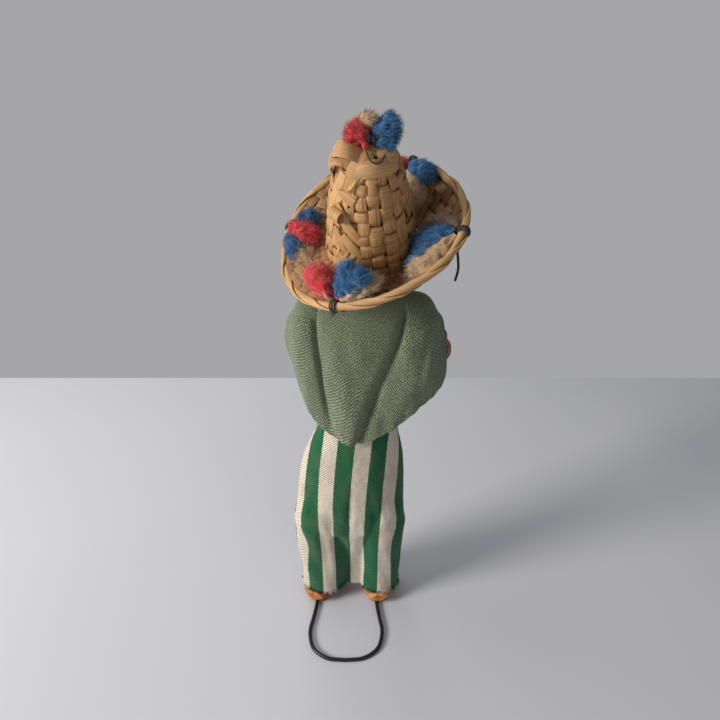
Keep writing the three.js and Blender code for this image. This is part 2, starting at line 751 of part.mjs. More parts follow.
// A closed ring of round section. Its section is squared to the given up direction.
function ringTube(points, radius, up, sides) {
  const rings = points.map((point, i) => {
    const tangent = points[(i + 1) % points.length].clone().sub(points.at(i - 1)).normalize();
    const side = vector(0, 0, 0).crossVectors(tangent, up(i)).normalize();
    const lift = vector(0, 0, 0).crossVectors(side, tangent);
    const ring = [];
    for (let j = 0; j < sides; j++) {
      const angle = 2 * Math.PI * (j + 0.5) / sides;
      ring.push(point.clone().addScaledVector(side, radius * Math.cos(angle))
        .addScaledVector(lift, radius * Math.sin(angle)));
    }
    return ring;
  });
  const flat = rings.flat();
  const triangles = [];
  for (let i = 0; i < rings.length; i++) {
    for (let j = 0; j < sides; j++) {
      const next = (i + 1) % rings.length;
      const k = (j + 1) % sides;
      const [a, b, c, d] = [i * sides + j, i * sides + k, next * sides + k, next * sides + j];
      triangles.push([a, b, c], [a, c, d]);
    }
  }
  return closedGeometry(flat, triangles);
}

const bindingRadius = bindingDiameter / 2;
const rimRing = Array.from({ length: 40 }, (_, i) => rimPoint(2 * Math.PI * i / 40));
const bindingForm = (radius) => ringTube(rimRing, radius, () => rimAxes.up, 6);
piece('brim_binding', bindingForm(bindingRadius), palm);

// Wool tufts: three locks of combed wool each, held by a turn of black thread

const tieRadius = bindingRadius + gap + tieDiameter / 2;

function tieRing(angle, thread) {
  const centre = rimPoint(angle);
  const along = rimPoint(angle + 0.02).sub(rimPoint(angle - 0.02)).normalize();
  const up = rimAxes.up;
  const out = vector(0, 0, 0).crossVectors(along, up).normalize();
  const lift = vector(0, 0, 0).crossVectors(out, along).normalize();
  const turns = Array.from({ length: 10 }, (_, i) => {
    const turn = 2 * Math.PI * i / 10;
    return centre.clone().addScaledVector(out, tieRadius * Math.cos(turn))
      .addScaledVector(lift, tieRadius * Math.sin(turn));
  });
  return ringTube(turns, thread, () => along, 4);
}

let hat = solid(sheet(hatSurface, 36, 12, palmThickness, true))
  .subtract(solid(bindingForm(bindingRadius + gap)));
for (const { angle } of brimTufts) {
  hat = hat.subtract(solid(tieRing(angle * degrees, tieDiameter / 2 + gap)));
}
piece('palm_hat', hat, palm);

// The right tuft's thread was never trimmed, and its end hangs down from the brim.
function looseThread(angle) {
  const outermost = rimPoint(angle).addScaledVector(polar(rimAxes, angle), tieRadius);
  const hang = [0, 0.3, 0.65, 1].map((share) => outermost.clone()
    .add(vector(0.8 * Math.sin(3 * share), 0, -looseThreadLength * share)));
  return solid(sweep(hang, tieDiameter / 2, 6));
}

const lockSteps = 6;
const lockSwell = (i) => Math.max(Math.sin(Math.PI * (i / lockSteps) ** 1.3), 0.1) ** 0.9;
const lockRootRadius = lockWidth / 2 * lockSwell(0);

function lock(root, direction, length, width) {
  const points = Array.from({ length: lockSteps + 1 }, (_, i) =>
    root.clone().addScaledVector(direction, length * i / lockSteps));
  return sweep(points, (i) => width / 2 * lockSwell(i), 6);
}

const wool = { red: redWool, blue: blueWool, cream: creamWool, brown: brownWool };

for (const { name, angle, colours } of brimTufts) {
  const turn = angle * degrees;
  const edge = brimPoint(turn, 1);
  const inward = brimPoint(turn, 0.45).sub(edge).normalize();
  const along = rimPoint(turn + 0.02).sub(rimPoint(turn - 0.02)).normalize();
  const lift = vector(0, 0, 0).crossVectors(inward, along).normalize();
  if (lift.dot(rimAxes.up) < 0) lift.negate();
  const slope = brimPoint(turn, 0.9).sub(edge).normalize();
  const upward = vector(0, 0, 0).crossVectors(slope, along).normalize();
  if (upward.dot(rimAxes.up) < 0) upward.negate();
  const seat = slope.multiplyScalar(Math.cos(lockSeatAngle * degrees))
    .addScaledVector(upward, Math.sin(lockSeatAngle * degrees));
  const ring = solid(tieRing(turn, tieDiameter / 2));
  piece(`${name}_tie`, name === 'right_tuft' ? ring.add(looseThread(turn)) : ring, blackYarn);
  for (const [i, colour] of colours.entries()) {
    const place = i - 1;
    const spread = place * lockSpread * degrees;
    const direction = inward.clone().multiplyScalar(Math.cos(spread)).addScaledVector(along, Math.sin(spread))
      .addScaledVector(lift, Math.sin(lockRise * degrees)).normalize();
    const held = place === 0 ? tieRadius + tieDiameter / 2 : bindingRadius + lockRootRadius;
    const start = edge.clone().addScaledVector(seat, held + gap)
      .addScaledVector(along, place * lockRootGap);
    piece(`${name}_${colour}_lock`, lock(start, direction, lockLength, lockWidth), wool[colour]);
  }
}

// The crown's own tuft stands on its tip.
const crownTip = crownPoint(0, 0);
const knotHeight = palmThickness / 2 + gap + tieDiameter / 2;
const crownKnot = crownTip.clone().addScaledVector(crownAxes.up, knotHeight);
const knotTurns = Array.from({ length: 12 }, (_, i) => crownKnot.clone()
  .addScaledVector(polar(crownAxes, 2 * Math.PI * i / 12), knotRadius));
piece('crown_tie', ringTube(knotTurns, tieDiameter / 2, () => crownAxes.up, 5), blackYarn);
for (const [i, colour] of ['red', 'cream', 'blue'].entries()) {
  const place = i - 1;
  const direction = vector(place * 0.8, place === 0 ? 0.1 : -0.35, place === 0 ? 0.9 : 0.45).normalize();
  const aside = place === 0 ? crownAxes.ahead : crownAxes.across.clone().multiplyScalar(place);
  const start = crownKnot.clone().addScaledVector(aside, knotRadius)
    .addScaledVector(crownAxes.up, tieDiameter / 2 + gap + lockRootRadius);
  piece(`crown_${colour}_lock`, lock(start, direction, crownLockLength, crownLockWidth), wool[colour]);
}

// Loose ends of the weave: one strip stands off the crown's left in a loop, one is rolled up.

function crownShareAt(height) {
  let [low, high] = [0, 1];
  for (let i = 0; i < 20; i++) {
    const middle = (low + high) / 2;
    if (crownProfile.getPoint(middle).y > height) low = middle;
    else high = middle;
  }
  return low;
}

function crownNormal(angle, share) {
  const around = crownPoint(angle + 0.01, share).sub(crownPoint(angle - 0.01, share));
  const down = crownPoint(angle, share + 0.01).sub(crownPoint(angle, share - 0.01));
  return vector(0, 0, 0).crossVectors(down, around).normalize();
}

function crownStandOff(angle, height, off) {
  const share = crownShareAt(height);
  return crownPoint(angle, share).addScaledVector(crownNormal(angle, share), off);
}

function ribbon(points, outward, width, thickness) {
  return loft(points.map((point, i) => {
    const before = points[Math.max(i - 1, 0)];
    const after = points[Math.min(i + 1, points.length - 1)];
    const side = vector(0, 0, 0).crossVectors(after.clone().sub(before), outward[i]).normalize();
    return [[1, 1], [-1, 1], [-1, -1], [1, -1]].map(([across, through]) => point.clone()
      .addScaledVector(side, across * width / 2).addScaledVector(outward[i], through * thickness / 2));
  }));
}

const seatOff = palmThickness / 2 + gap + stripThickness / 2;
const loopTurns = Array.from({ length: 7 }, (_, i) => ({
  angle: THREE.MathUtils.lerp(...loopSpan, i / 6) * degrees,
  rise: Math.sin(Math.PI * i / 6),
}));
const loopPoints = loopTurns.map(({ angle, rise }) =>
  crownStandOff(angle, crownHeight - loopDrop, seatOff + loopStandOff * rise));
const loopOutward = loopTurns.map(({ angle }) => crownNormal(angle, crownShareAt(crownHeight - loopDrop)));
piece('crown_loop', ribbon(loopPoints, loopOutward, stripWidth, stripThickness), palm);

const curlTurns = Array.from({ length: 17 }, (_, i) => ({
  radius: curlRadius * (1 - 0.55 * i / 16),
  angle: Math.PI * (1 + 2.8 * i / 16),
}));
const spiral = (inset) => curlTurns.map(({ radius, angle }) =>
  new THREE.Vector2((radius - inset) * Math.cos(angle), (radius - inset) * Math.sin(angle)));
const curlOutline = new THREE.Shape([...spiral(0), ...spiral(stripThickness).reverse()]);
const curl = new THREE.ExtrudeGeometry(curlOutline, { depth: curlLength, bevelEnabled: false });
const curlAngle = curlPlace[0] * degrees;
const curlOff = palmThickness / 2 + gap + curlRadius;
const curlTop = crownStandOff(curlAngle, curlPlace[1] + curlLength, curlOff);
const curlFoot = crownStandOff(curlAngle, curlPlace[1], curlOff);
const curlAxis = curlFoot.clone().sub(curlTop).normalize();
const curlSide = vector(0, 0, 0).crossVectors(curlAxis, polar(crownAxes, curlAngle)).normalize();
const curlOut = vector(0, 0, 0).crossVectors(curlSide, curlAxis);
curl.applyMatrix4(new THREE.Matrix4().makeBasis(curlOut, curlSide, curlAxis).setPosition(curlTop));
piece('crown_curl', curl, palm);

const box = new THREE.Box3().setFromObject(doll);
doll.position.set(-(box.min.x + box.max.x) / 2, -(box.min.y + box.max.y) / 2, -box.min.z);

export default doll;
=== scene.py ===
"""A cloth doll on a wire stand: the looks of each piece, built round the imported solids."""

import json
import math

import bmesh
import bpy
import numpy as np
from mathutils import Matrix, Vector, noise


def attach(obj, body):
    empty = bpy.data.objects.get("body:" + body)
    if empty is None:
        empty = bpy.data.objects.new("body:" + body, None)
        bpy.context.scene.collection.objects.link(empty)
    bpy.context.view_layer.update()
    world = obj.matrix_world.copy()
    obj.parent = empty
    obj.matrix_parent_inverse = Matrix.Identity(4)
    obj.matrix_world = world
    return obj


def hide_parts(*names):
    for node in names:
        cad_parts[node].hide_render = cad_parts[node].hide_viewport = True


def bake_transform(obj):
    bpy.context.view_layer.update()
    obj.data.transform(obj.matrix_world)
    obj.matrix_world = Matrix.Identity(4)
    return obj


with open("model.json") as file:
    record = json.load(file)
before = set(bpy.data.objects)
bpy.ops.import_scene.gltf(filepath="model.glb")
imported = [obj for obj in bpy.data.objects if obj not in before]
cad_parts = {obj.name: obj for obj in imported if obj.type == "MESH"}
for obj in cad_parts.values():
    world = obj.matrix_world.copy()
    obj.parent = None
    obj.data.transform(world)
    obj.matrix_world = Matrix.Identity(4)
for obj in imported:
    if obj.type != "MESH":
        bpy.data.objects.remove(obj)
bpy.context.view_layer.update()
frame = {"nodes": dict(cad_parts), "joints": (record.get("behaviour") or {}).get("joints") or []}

# Millimetres about the middle of the two legs, which the frame's own joint puts in its place
MM = 0.001
BODY_LEAN = 9.7
SPINE_X = BODY_LEAN + 3.5
SPINE_JOINT = next(j for j in frame["joints"] if j["name"] == "head_turn")["pos_m"]
ORIGIN = np.array([SPINE_JOINT[0] / MM - SPINE_X, SPINE_JOINT[1] / MM, 0.0])


def metres(points):
    """Points of the doll in millimetres, as the frame's metres."""
    return (np.asarray(points, float) + ORIGIN) * MM


# Camera

# Its place in the doll's millimetres, its tilt in degrees and its focal length
CAMERA_PLACE = (7.0, -274.3, 323.0)
CAMERA_DOWN = 26.03
CAMERA_LENS = 26.0


def set_camera():
    data = bpy.data.cameras.new("camera")
    data.lens = CAMERA_LENS
    data.sensor_width = 36.0
    data.clip_start = 0.01
    camera = bpy.data.objects.new("camera", data)
    camera.location = metres(CAMERA_PLACE)
    camera.rotation_euler = (math.radians(90 - CAMERA_DOWN), 0, 0)
    bpy.context.scene.collection.objects.link(camera)
    bpy.context.scene.camera = camera


# Curves and surfaces

UP = np.array([0, 0, 1.0])


def unit(vectors):
    vectors = np.asarray(vectors, float)
    return vectors / np.maximum(np.linalg.norm(vectors, axis=-1, keepdims=True), 1e-9)


def smooth(value, low, high):
    share = np.clip((value - low) / (high - low), 0, 1)
    return share * share * (3 - 2 * share)


def full_turn(count):
    """Angles at even steps, once round."""
    return np.linspace(0, 2 * math.pi, count, endpoint=False)


def grid_coords(across, along):
    """Surface coordinates of a grid: one number for each column and one for each row."""
    return np.stack(np.meshgrid(across, along), axis=-1)


def globe(rows, sides, hole):
    """Directions over a ball in rings, with a hole of that many radians at its foot and top."""
    around = full_turn(sides)
    rise = np.linspace(hole - math.pi / 2, math.pi / 2 - hole, rows)[:, None, None]
    ring = np.stack([np.cos(around), np.sin(around), 0 * around], axis=-1)
    return np.cos(rise) * ring + np.sin(rise) * UP


def curve(points, t, closed=False):
    """A centripetal curve through points, at one share of its length or at several."""
    points = np.asarray(points, float)
    count = len(points)
    t = np.asarray(t, float)
    spot = t * (count if closed else count - 1)
    base = np.floor(spot).astype(int)
    if closed:
        padded = np.concatenate([points[-1:], points, points[:2]])
        base = base % count
        spot = spot % count
    else:
        padded = np.concatenate([[2 * points[0] - points[1]], points, [2 * points[-1] - points[-2]]])
        base = np.minimum(base, count - 2)
    share = spot - base
    share = share.reshape(share.shape + (1,) * (points.ndim - 1))
    p0, p1, p2, p3 = (padded[base + k] for k in range(4))
    steps = [
        np.maximum(np.linalg.norm(b - a, axis=-1, keepdims=True) ** 0.5, 1e-3)
        for a, b in ((p0, p1), (p1, p2), (p2, p3))
    ]
    into = ((p1 - p0) / steps[0] - (p2 - p0) / (steps[0] + steps[1]) + (p2 - p1) / steps[1]) * steps[1]
    out = ((p2 - p1) / steps[1] - (p3 - p1) / (steps[1] + steps[2]) + (p3 - p2) / steps[2]) * steps[1]
    cubic = 2 * p1 - 2 * p2 + into + out
    square = -3 * p1 + 3 * p2 - 2 * into - out
    return p1 + share * (into + share * (square + share * cubic))


def along_path(points, count, closed=False):
    """Points at even steps on a smooth curve through the given ones."""
    fine = curve(points, np.linspace(0, 1, 40 * len(points), endpoint=not closed), closed)
    if closed:
        fine = np.concatenate([fine, fine[:1]])
    reach = np.concatenate([[0], np.cumsum(np.linalg.norm(np.diff(fine, axis=0), axis=1))])
    wanted = np.linspace(0, reach[-1], count, endpoint=not closed)
    return np.stack([np.interp(wanted, reach, fine[:, k]) for k in range(3)], axis=1)


def tangents(path, closed=False):
    if closed:
        return unit(np.roll(path, -1, 0) - np.roll(path, 1, 0))
    return unit(np.gradient(path, axis=0))


def reach_along(path):
    steps = np.linalg.norm(np.diff(path, axis=0), axis=1)
    return np.concatenate([[0], np.cumsum(steps)])


def wobble(points, size, seed, amount=1.0):
    """One smooth random number for each point, about zero. Size is the width of its bumps."""
    offset = Vector((seed * 7.3, seed * 3.1, seed * 5.7))
    flat = np.asarray(points, float).reshape(-1, 3)
    values = [noise.noise(Vector(point / size) + offset) for point in flat]
    return amount * np.array(values).reshape(np.shape(points)[:-1])


# Meshes


class Shape:
    """Points, faces, surface coordinates in millimetres and tones, gathered for one piece."""

    def __init__(self):
        self.points = []
        self.faces = []
        self.coords = []
        self.tones = []
        self.count = 0

    def add_points(self, points, tone):
        flat = np.asarray(points, float).reshape(-1, 3)
        first = self.count
        self.points.append(flat)
        self.tones.append(np.broadcast_to(np.asarray(tone, float).reshape(-1), (len(flat),)))
        self.count += len(flat)
        return first

    def grid(self, points, coords, tone=0.5, wrap_rows=False, wrap_columns=False):
        """A sheet of quads. Coords has one more row or column than points where it wraps."""
        rows, columns = points.shape[:2]
        first = self.add_points(points, tone)
        row, column = np.meshgrid(
            np.arange(rows if wrap_rows else rows - 1),
            np.arange(columns if wrap_columns else columns - 1),
            indexing="ij",
        )
        row, column = row.ravel(), column.ravel()
        corners = [(row, column), (row, column + 1), (row + 1, column + 1), (row + 1, column)]
        faces = [first + (r % rows) * columns + c % columns for r, c in corners]
        self.faces.extend(np.stack(faces, axis=1).tolist())
        self.coords.append(np.stack([coords[r, c] for r, c in corners], axis=1).reshape(-1, 2))
        return first

    def cap(self, first, count, coord, flip=False):
        ring = list(range(first, first + count))
        self.faces.append(ring[::-1] if flip else ring)
        self.coords.append(np.broadcast_to(np.asarray(coord, float), (count, 2)))

    def closed_form(self, rings, coords, tone=0.5):
        """Rings that make one closed form, with a flat face over each end."""
        rows, columns = rings.shape[:2]
        first = self.grid(rings, coords, tone, False, True)
        self.cap(first, columns, (0, 0), True)
        self.cap(first + (rows - 1) * columns, columns, (0, 0))

    def walled(self, outer, inner, coords, wrap_columns):
        """The two sides of a cloth, joined along its first and last rows."""
        both = np.concatenate([coords, coords[::-1], coords[:1]])
        return self.grid(np.concatenate([outer, inner[::-1]]), both, 0.5, True, wrap_columns)

    def tube(self, path, radius, sides=10, tone=0.5, closed=False, twist=0.0):
        """A round tube along a path. The radius is one number or one for each point."""
        path = np.asarray(path, float)
        lead = tangents(path, closed)
        normal = np.cross(lead[0], [0, 0, 1] if abs(lead[0][2]) < 0.9 else [1, 0, 0])
        normals = []
        for direction in lead:
            normal = unit(normal - direction * np.dot(normal, direction))
            normals.append(normal)
        normals = np.array(normals)
        if closed:
            drift = math.atan2(
                np.dot(np.cross(normals[-1], normals[0]), lead[0]), np.dot(normals[-1], normals[0])
            )
            turn = np.linspace(0, drift, len(path), endpoint=False)[:, None]
            normals = normals * np.cos(turn) + np.cross(lead, normals) * np.sin(turn)
        sideways = np.cross(lead, normals)
        angle = full_turn(sides)[None, :, None]
        angle = angle + twist * reach_along(path)[:, None, None]
        size = np.broadcast_to(np.asarray(radius, float), (len(path),))[:, None, None]
        ring = normals[:, None] * np.cos(angle) + sideways[:, None] * np.sin(angle)
        reach = reach_along(np.concatenate([path, path[:1]]) if closed else path)
        around = np.linspace(0, 2 * math.pi * float(np.max(radius)), sides + 1)
        coords = grid_coords(around, reach)
        first = self.grid(path[:, None] + size * ring, coords, tone, closed, True)
        if not closed:
            self.cap(first, sides, coords[0, 0], True)
            self.cap(first + (len(path) - 1) * sides, sides, coords[-1, 0])

    def ribbon(self, path, normal, width, thickness=0.5, bow=0.2, tone=0.5, closed=False, slip=0.0):
        """A thin strip along a path that lies in a surface, bowed across its width."""
        lead = tangents(path, closed)
        side = unit(np.cross(lead, normal))
        lift = np.cross(side, lead)
        across = np.array([-1, -0.8, -0.4, 0, 0.4, 0.8, 1])
        camber = bow * (1 - across**2)
        width = np.broadcast_to(np.asarray(width, float), (len(path),))[:, None]
        shift = np.concatenate([across, across[::-1]])[None, :] * width / 2
        height = np.concatenate([camber + thickness / 2, camber[::-1] - thickness / 2])
        points = path[:, None] + side[:, None] * shift[..., None] + lift[:, None] * height[None, :, None]
        reach = reach_along(np.concatenate([path, path[:1]]) if closed else path) + slip
        cross = np.concatenate([across, across[::-1], across[:1]]) * float(np.mean(width)) / 2 + slip
        coords = grid_coords(cross, reach)
        first = self.grid(points, coords, tone, closed, True)
        if not closed:
            ring = 2 * len(across)
            self.cap(first, ring, coords[0, 0], True)
            self.cap(first + (len(path) - 1) * ring, ring, coords[-1, 0])

    def piece(self, name, finish, crease=60.0, merge=False):
        """The gathered mesh as an object in the frame, with its finish."""
        mesh = bpy.data.meshes.new(name)
        mesh.from_pydata(metres(np.concatenate(self.points)).tolist(), [], self.faces)
        tone = mesh.attributes.new("tone", "FLOAT", "POINT")
        tone.data.foreach_set("value", np.concatenate(self.tones).astype(np.float32))
        layer = mesh.uv_layers.new(name="surface")
        layer.data.foreach_set("uv", np.concatenate(self.coords).astype(np.float32).ravel())
        outward(mesh, merge)
        shade(mesh, crease)
        mesh.materials.append(finish)
        return link(name, mesh)


def outward(mesh, merge=False):
    """Turns every face of a closed mesh outwards. Points that meet may be merged first."""
    work = bmesh.new()
    work.from_mesh(mesh)
    if merge:
        bmesh.ops.remove_doubles(work, verts=work.verts, dist=0.005 * MM)
    bmesh.ops.recalc_face_normals(work, faces=work.faces)
    work.to_mesh(mesh)
    work.free()


def shade(mesh, crease=60.0):
    mesh.shade_smooth()
    mesh.set_sharp_from_angle(angle=math.radians(crease))


def read_places(mesh):
    """The points of a mesh, in the frame's millimetres."""
    places = np.empty(len(mesh.vertices) * 3, np.float32)
    mesh.vertices.foreach_get("co", places)
    return places.reshape(-1, 3) / MM


def move_points(mesh, places):
    """Puts the points of a mesh at new places, in metres."""
    mesh.vertices.foreach_set("co", places.astype(np.float32).ravel())


def even_tone(mesh):
    layer = mesh.attributes.new("tone", "FLOAT", "POINT")
    layer.data.foreach_set("value", np.full(len(mesh.vertices), 0.5, np.float32))


def link(name, mesh):
    thing = bpy.data.objects.new(name, mesh)
    bpy.context.scene.collection.objects.link(thing)
    return thing


def set_piece(thing, body, slot, *nodes):
    """The piece rides on its body and stands for the given solids. Its slot is not used."""
    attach(thing, body)
    if nodes:
        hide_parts(*nodes)
    return thing


def settled(thing):
    """The object's evaluated mesh as its own plain mesh, with no modifier left."""
    graph = bpy.context.evaluated_depsgraph_get()
    mesh = bpy.data.meshes.new_from_object(thing.evaluated_get(graph), depsgraph=graph)
    thing.modifiers.clear()
    thing.data = mesh
    return thing


# Node trees


def colour(red, green, blue):
    """A colour as a paint chart gives it, 0 to 255, in the renderer's linear values."""
    chart = np.array([red, green, blue]) / 255
    linear = np.where(chart <= 0.04045, chart / 12.92, ((chart + 0.055) / 1.055) ** 2.4)
    return (*linear.tolist(), 1.0)


def add_node(tree, kind, inputs=None, **settings):
    """A node with its settings, and values or sockets for its inputs by name or number."""
    made = tree.nodes.new(kind)
    for name, value in settings.items():
        setattr(made, name, value)
    for key, value in (inputs or {}).items():
        socket = made.inputs[key]
        if isinstance(value, bpy.types.NodeSocket):
            tree.links.new(value, socket)
        else:
            socket.default_value = value
    return made


def calc(tree, operation, first, second=0.0, third=0.0):
    inputs = {0: first, 1: second, 2: third}
    return add_node(tree, "ShaderNodeMath", inputs, operation=operation).outputs[0]


def step_up(tree, value, low, high, start=0.0, end=1.0):
    """Start below low, end above high, and a smooth rise between them."""
    inputs = {"Value": value, "From Min": low, "From Max": high, "To Min": start, "To Max": end}
    return add_node(tree, "ShaderNodeMapRange", inputs, interpolation_type="SMOOTHSTEP").outputs[0]


def mix_colour(tree, share, first, second):
    inputs = {0: share, 6: first, 7: second}
    return add_node(tree, "ShaderNodeMix", inputs, data_type="RGBA").outputs[2]


def lay_over(tree, under, mask, share, over):
    """A colour over another one where a mask shows it, at a share of its full strength."""
    return mix_colour(tree, calc(tree, "MULTIPLY", mask, share), under, over)


def cloud(tree, coords, scale, detail=3.0, roughness=0.5):
    inputs = {"Vector": coords, "Scale": scale, "Detail": detail, "Roughness": roughness}
    return add_node(tree, "ShaderNodeTexNoise", inputs).outputs["Fac"]


def stretched(tree, coords, x, y, z=1.0):
    inputs = {0: coords, 1: (x, y, z)}
    return add_node(tree, "ShaderNodeVectorMath", inputs, operation="MULTIPLY").outputs[0]


def in_millimetres(tree):
    """Object coordinates, in millimetres."""
    return stretched(tree, add_node(tree, "ShaderNodeTexCoord").outputs["Object"], 1000, 1000, 1000)


def on_surface(tree):
    """The piece's own surface coordinates, in millimetres."""
    return add_node(tree, "ShaderNodeUVMap", uv_map="surface").outputs[0]


def tone(tree):
    return add_node(tree, "ShaderNodeAttribute", attribute_name="tone").outputs["Fac"]


def new_group(name, inputs, outputs):
    """A shader node group with named number inputs, and vectors where a value is None."""
    group = bpy.data.node_groups.new(name, "ShaderNodeTree")
    for label, value in inputs.items():
        kind = "NodeSocketVector" if value is None else "NodeSocketFloat"
        socket = group.interface.new_socket(label, in_out="INPUT", socket_type=kind)
        if value is not None:
            socket.default_value = value
    for label in outputs:
        group.interface.new_socket(label, in_out="OUTPUT", socket_type="NodeSocketFloat")
    given = group.nodes.new("NodeGroupInput").outputs
    result = group.nodes.new("NodeGroupOutput").inputs
    return group, given, result


def use_group(tree, group, **values):
    inputs = {key.replace("_", " "): value for key, value in values.items()}
    return add_node(tree, "ShaderNodeGroup", inputs, node_tree=group).outputs


def weave_group():
    """Plain weave: the height of its threads, the holes between them, and which set is on top."""
    group, given, result = new_group(
        "plain weave",
        {"Place": None, "Pitch": 1.0, "Thread": 0.7, "Drift": 0.25},
        ("Height", "Hole", "Warp"),
    )

    def work(operation, first, second=0.0, third=0.0):
        return calc(group, operation, first, second, third)

    drift = cloud(group, given["Place"], 0.22, 2.0)
    slip = work("MULTIPLY", work("SUBTRACT", drift, 0.5), given["Drift"])
    parts = add_node(group, "ShaderNodeSeparateXYZ", {0: given["Place"]}).outputs
    cells = [work("ADD", work("DIVIDE", parts[axis], given["Pitch"]), slip) for axis in (0, 1)]
    half = work("MULTIPLY", given["Thread"], 0.5)
    counts = work("ADD", *[work("FLOOR", cell) for cell in cells])
    over = work("GREATER_THAN", work("MODULO", work("ABSOLUTE", counts), 2.0), 0.5)
    under = work("SUBTRACT", 1.0, over)
    heights = []
    for cell, raised in zip(cells, (over, under)):
        offset = work("ABSOLUTE", work("SUBTRACT", work("FRACT", cell), 0.5))
        square = work("POWER", work("DIVIDE", offset, half), 2.0)
        thread = work("SQRT", work("MAXIMUM", work("SUBTRACT", 1.0, square), 0.0))
        heights.append(work("MULTIPLY", thread, work("MULTIPLY_ADD", raised, 0.35, 0.65)))
    top = work("MAXIMUM", *heights)
    for label, value in {
        "Height": top,
        "Hole": step_up(group, top, 0.05, 0.5, 1.0, 0.0),
        "Warp": work("GREATER_THAN", *heights),
    }.items():
        group.links.new(value, result[label])
    return group


def fibre_group():
    """Long fibres along the second surface direction, as in leaf, yarn or combed wool."""
    group, given, result = new_group(
        "fibres", {"Place": None, "Fineness": 3.0, "Length": 12.0}, ("Fibre", "Broad")
    )
    drawn = add_node(
        group,
        "ShaderNodeCombineXYZ",
        {0: given["Fineness"], 1: calc(group, "DIVIDE", 1.0, given["Length"]), 2: 1.0},
    ).outputs[0]
    laid = add_node(group, "ShaderNodeVectorMath", {0: given["Place"], 1: drawn}, operation="MULTIPLY")
    group.links.new(cloud(group, laid.outputs[0], 1.0, 4.0, 0.6), result["Fibre"])
    group.links.new(cloud(group, laid.outputs[0], 0.3, 2.0), result["Broad"])
    return group


def handling_group():
    """Where long handling has soiled and dulled a surface: broad stains and fine dust."""
    group, given, result = new_group("handling", {"Place": None, "Spread": 0.06}, ("Stain", "Dust"))
    broad = cloud(group, given["Place"], given["Spread"], 3.0, 0.55)
    group.links.new(step_up(group, broad, 0.45, 0.72), result["Stain"])
    group.links.new(step_up(group, cloud(group, given["Place"], 1.1, 4.0, 0.7), 0.5, 0.8), result["Dust"])
    return group


WEAVE = weave_group()
FIBRES = fibre_group()
HANDLING = handling_group()


def finish(name, base, roughness, height=None, bump=0.3, **constants):
    """A material. Base and roughness are functions of the tree, or plain values."""
    material = bpy.data.materials.new(name)
    material.use_nodes = True
    tree = material.node_tree
    shader = tree.nodes["Principled BSDF"]
    for key, value in constants.items():
        shader.inputs[key.replace("_", " ")].default_value = value
    for key, value in (("Base Color", base), ("Roughness", roughness)):
        value = value(tree) if callable(value) else value
        if isinstance(value, bpy.types.NodeSocket):
            tree.links.new(value, shader.inputs[key])
        else:
            shader.inputs[key].default_value = value
    if height:
        inputs = {"Height": height(tree), "Strength": bump, "Distance": MM}
        lifted = add_node(tree, "ShaderNodeBump", inputs)
        tree.links.new(lifted.outputs[0], shader.inputs["Normal"])
    return material


# Finishes


def palm_finish(name, light, dark, shade=1.0):
    """Split palm leaf: streaks along the strip, dark spots and stains. Shade is painted shade that darkens it
    all.
    """

    def base(tree):
        fibres = use_group(tree, FIBRES, Place=on_surface(tree), Fineness=2.6, Length=22.0)
        streak = mix_colour(tree, step_up(tree, fibres["Fibre"], 0.3, 0.7), dark, light)
        # Low tone browns the palm and high tone pales it. Between strips the tone differs at random, but on
        # the binding it is painted shade under each lap and painted light near its crest.
        aged = mix_colour(tree, step_up(tree, tone(tree), 0.25, 0.0), streak, colour(120, 78, 42))
        pale = mix_colour(tree, step_up(tree, tone(tree), 0.6, 1.0, 0.0, 0.6), aged, colour(228, 184, 126))
        spots = calc(tree, "GREATER_THAN", cloud(tree, in_millimetres(tree), 0.9, 2.0), 0.74)
        spotted = lay_over(tree, pale, spots, 0.6, colour(96, 58, 32))
        stain = use_group(tree, HANDLING, Place=in_millimetres(tree), Spread=0.05)["Stain"]
        soiled = lay_over(tree, spotted, stain, 0.3, colour(150, 104, 60))
        return mix_colour(tree, 1.0 - shade, soiled, colour(40, 26, 14))

    def roughness(tree):
        fibres = use_group(tree, FIBRES, Place=on_surface(tree), Fineness=2.6, Length=22.0)
        return step_up(tree, fibres["Broad"], 0.3, 0.7, 0.42, 0.62)

    def height(tree):
        fibres = use_group(tree, FIBRES, Place=on_surface(tree), Fineness=3.4, Length=30.0)
        return calc(tree, "ADD", fibres["Fibre"], calc(tree, "MULTIPLY", fibres["Broad"], 1.5))

    return finish(name, base, roughness, height, 0.35, Specular_IOR_Level=0.45)


def wool_finish(name, main, deep, pale):
    """Dyed wool, pale at the tips of its fibres. Its deep colour on the lock's core, between the fibres, is
    painted shade.
    """

    def base(tree):
        strand = mix_colour(tree, step_up(tree, tone(tree), 0.1, 0.6), deep, main)
        worn = mix_colour(tree, step_up(tree, tone(tree), 0.55, 1.0, 0.0, 0.75), strand, pale)
        patch = step_up(tree, cloud(tree, in_millimetres(tree), 0.35, 3.0), 0.45, 0.75, 0.0, 0.45)
        return mix_colour(tree, patch, worn, deep)

    def height(tree):
        return cloud(tree, stretched(tree, in_millimetres(tree), 5, 5, 5), 1.0, 3.0, 0.6)

    return finish(name, base, 0.95, height, 0.25, Sheen_Weight=0.35, Sheen_Roughness=0.6)


def open_weave(tree):
    return use_group(tree, WEAVE, Place=on_surface(tree), Pitch=1.28, Thread=0.58, Drift=0.9)


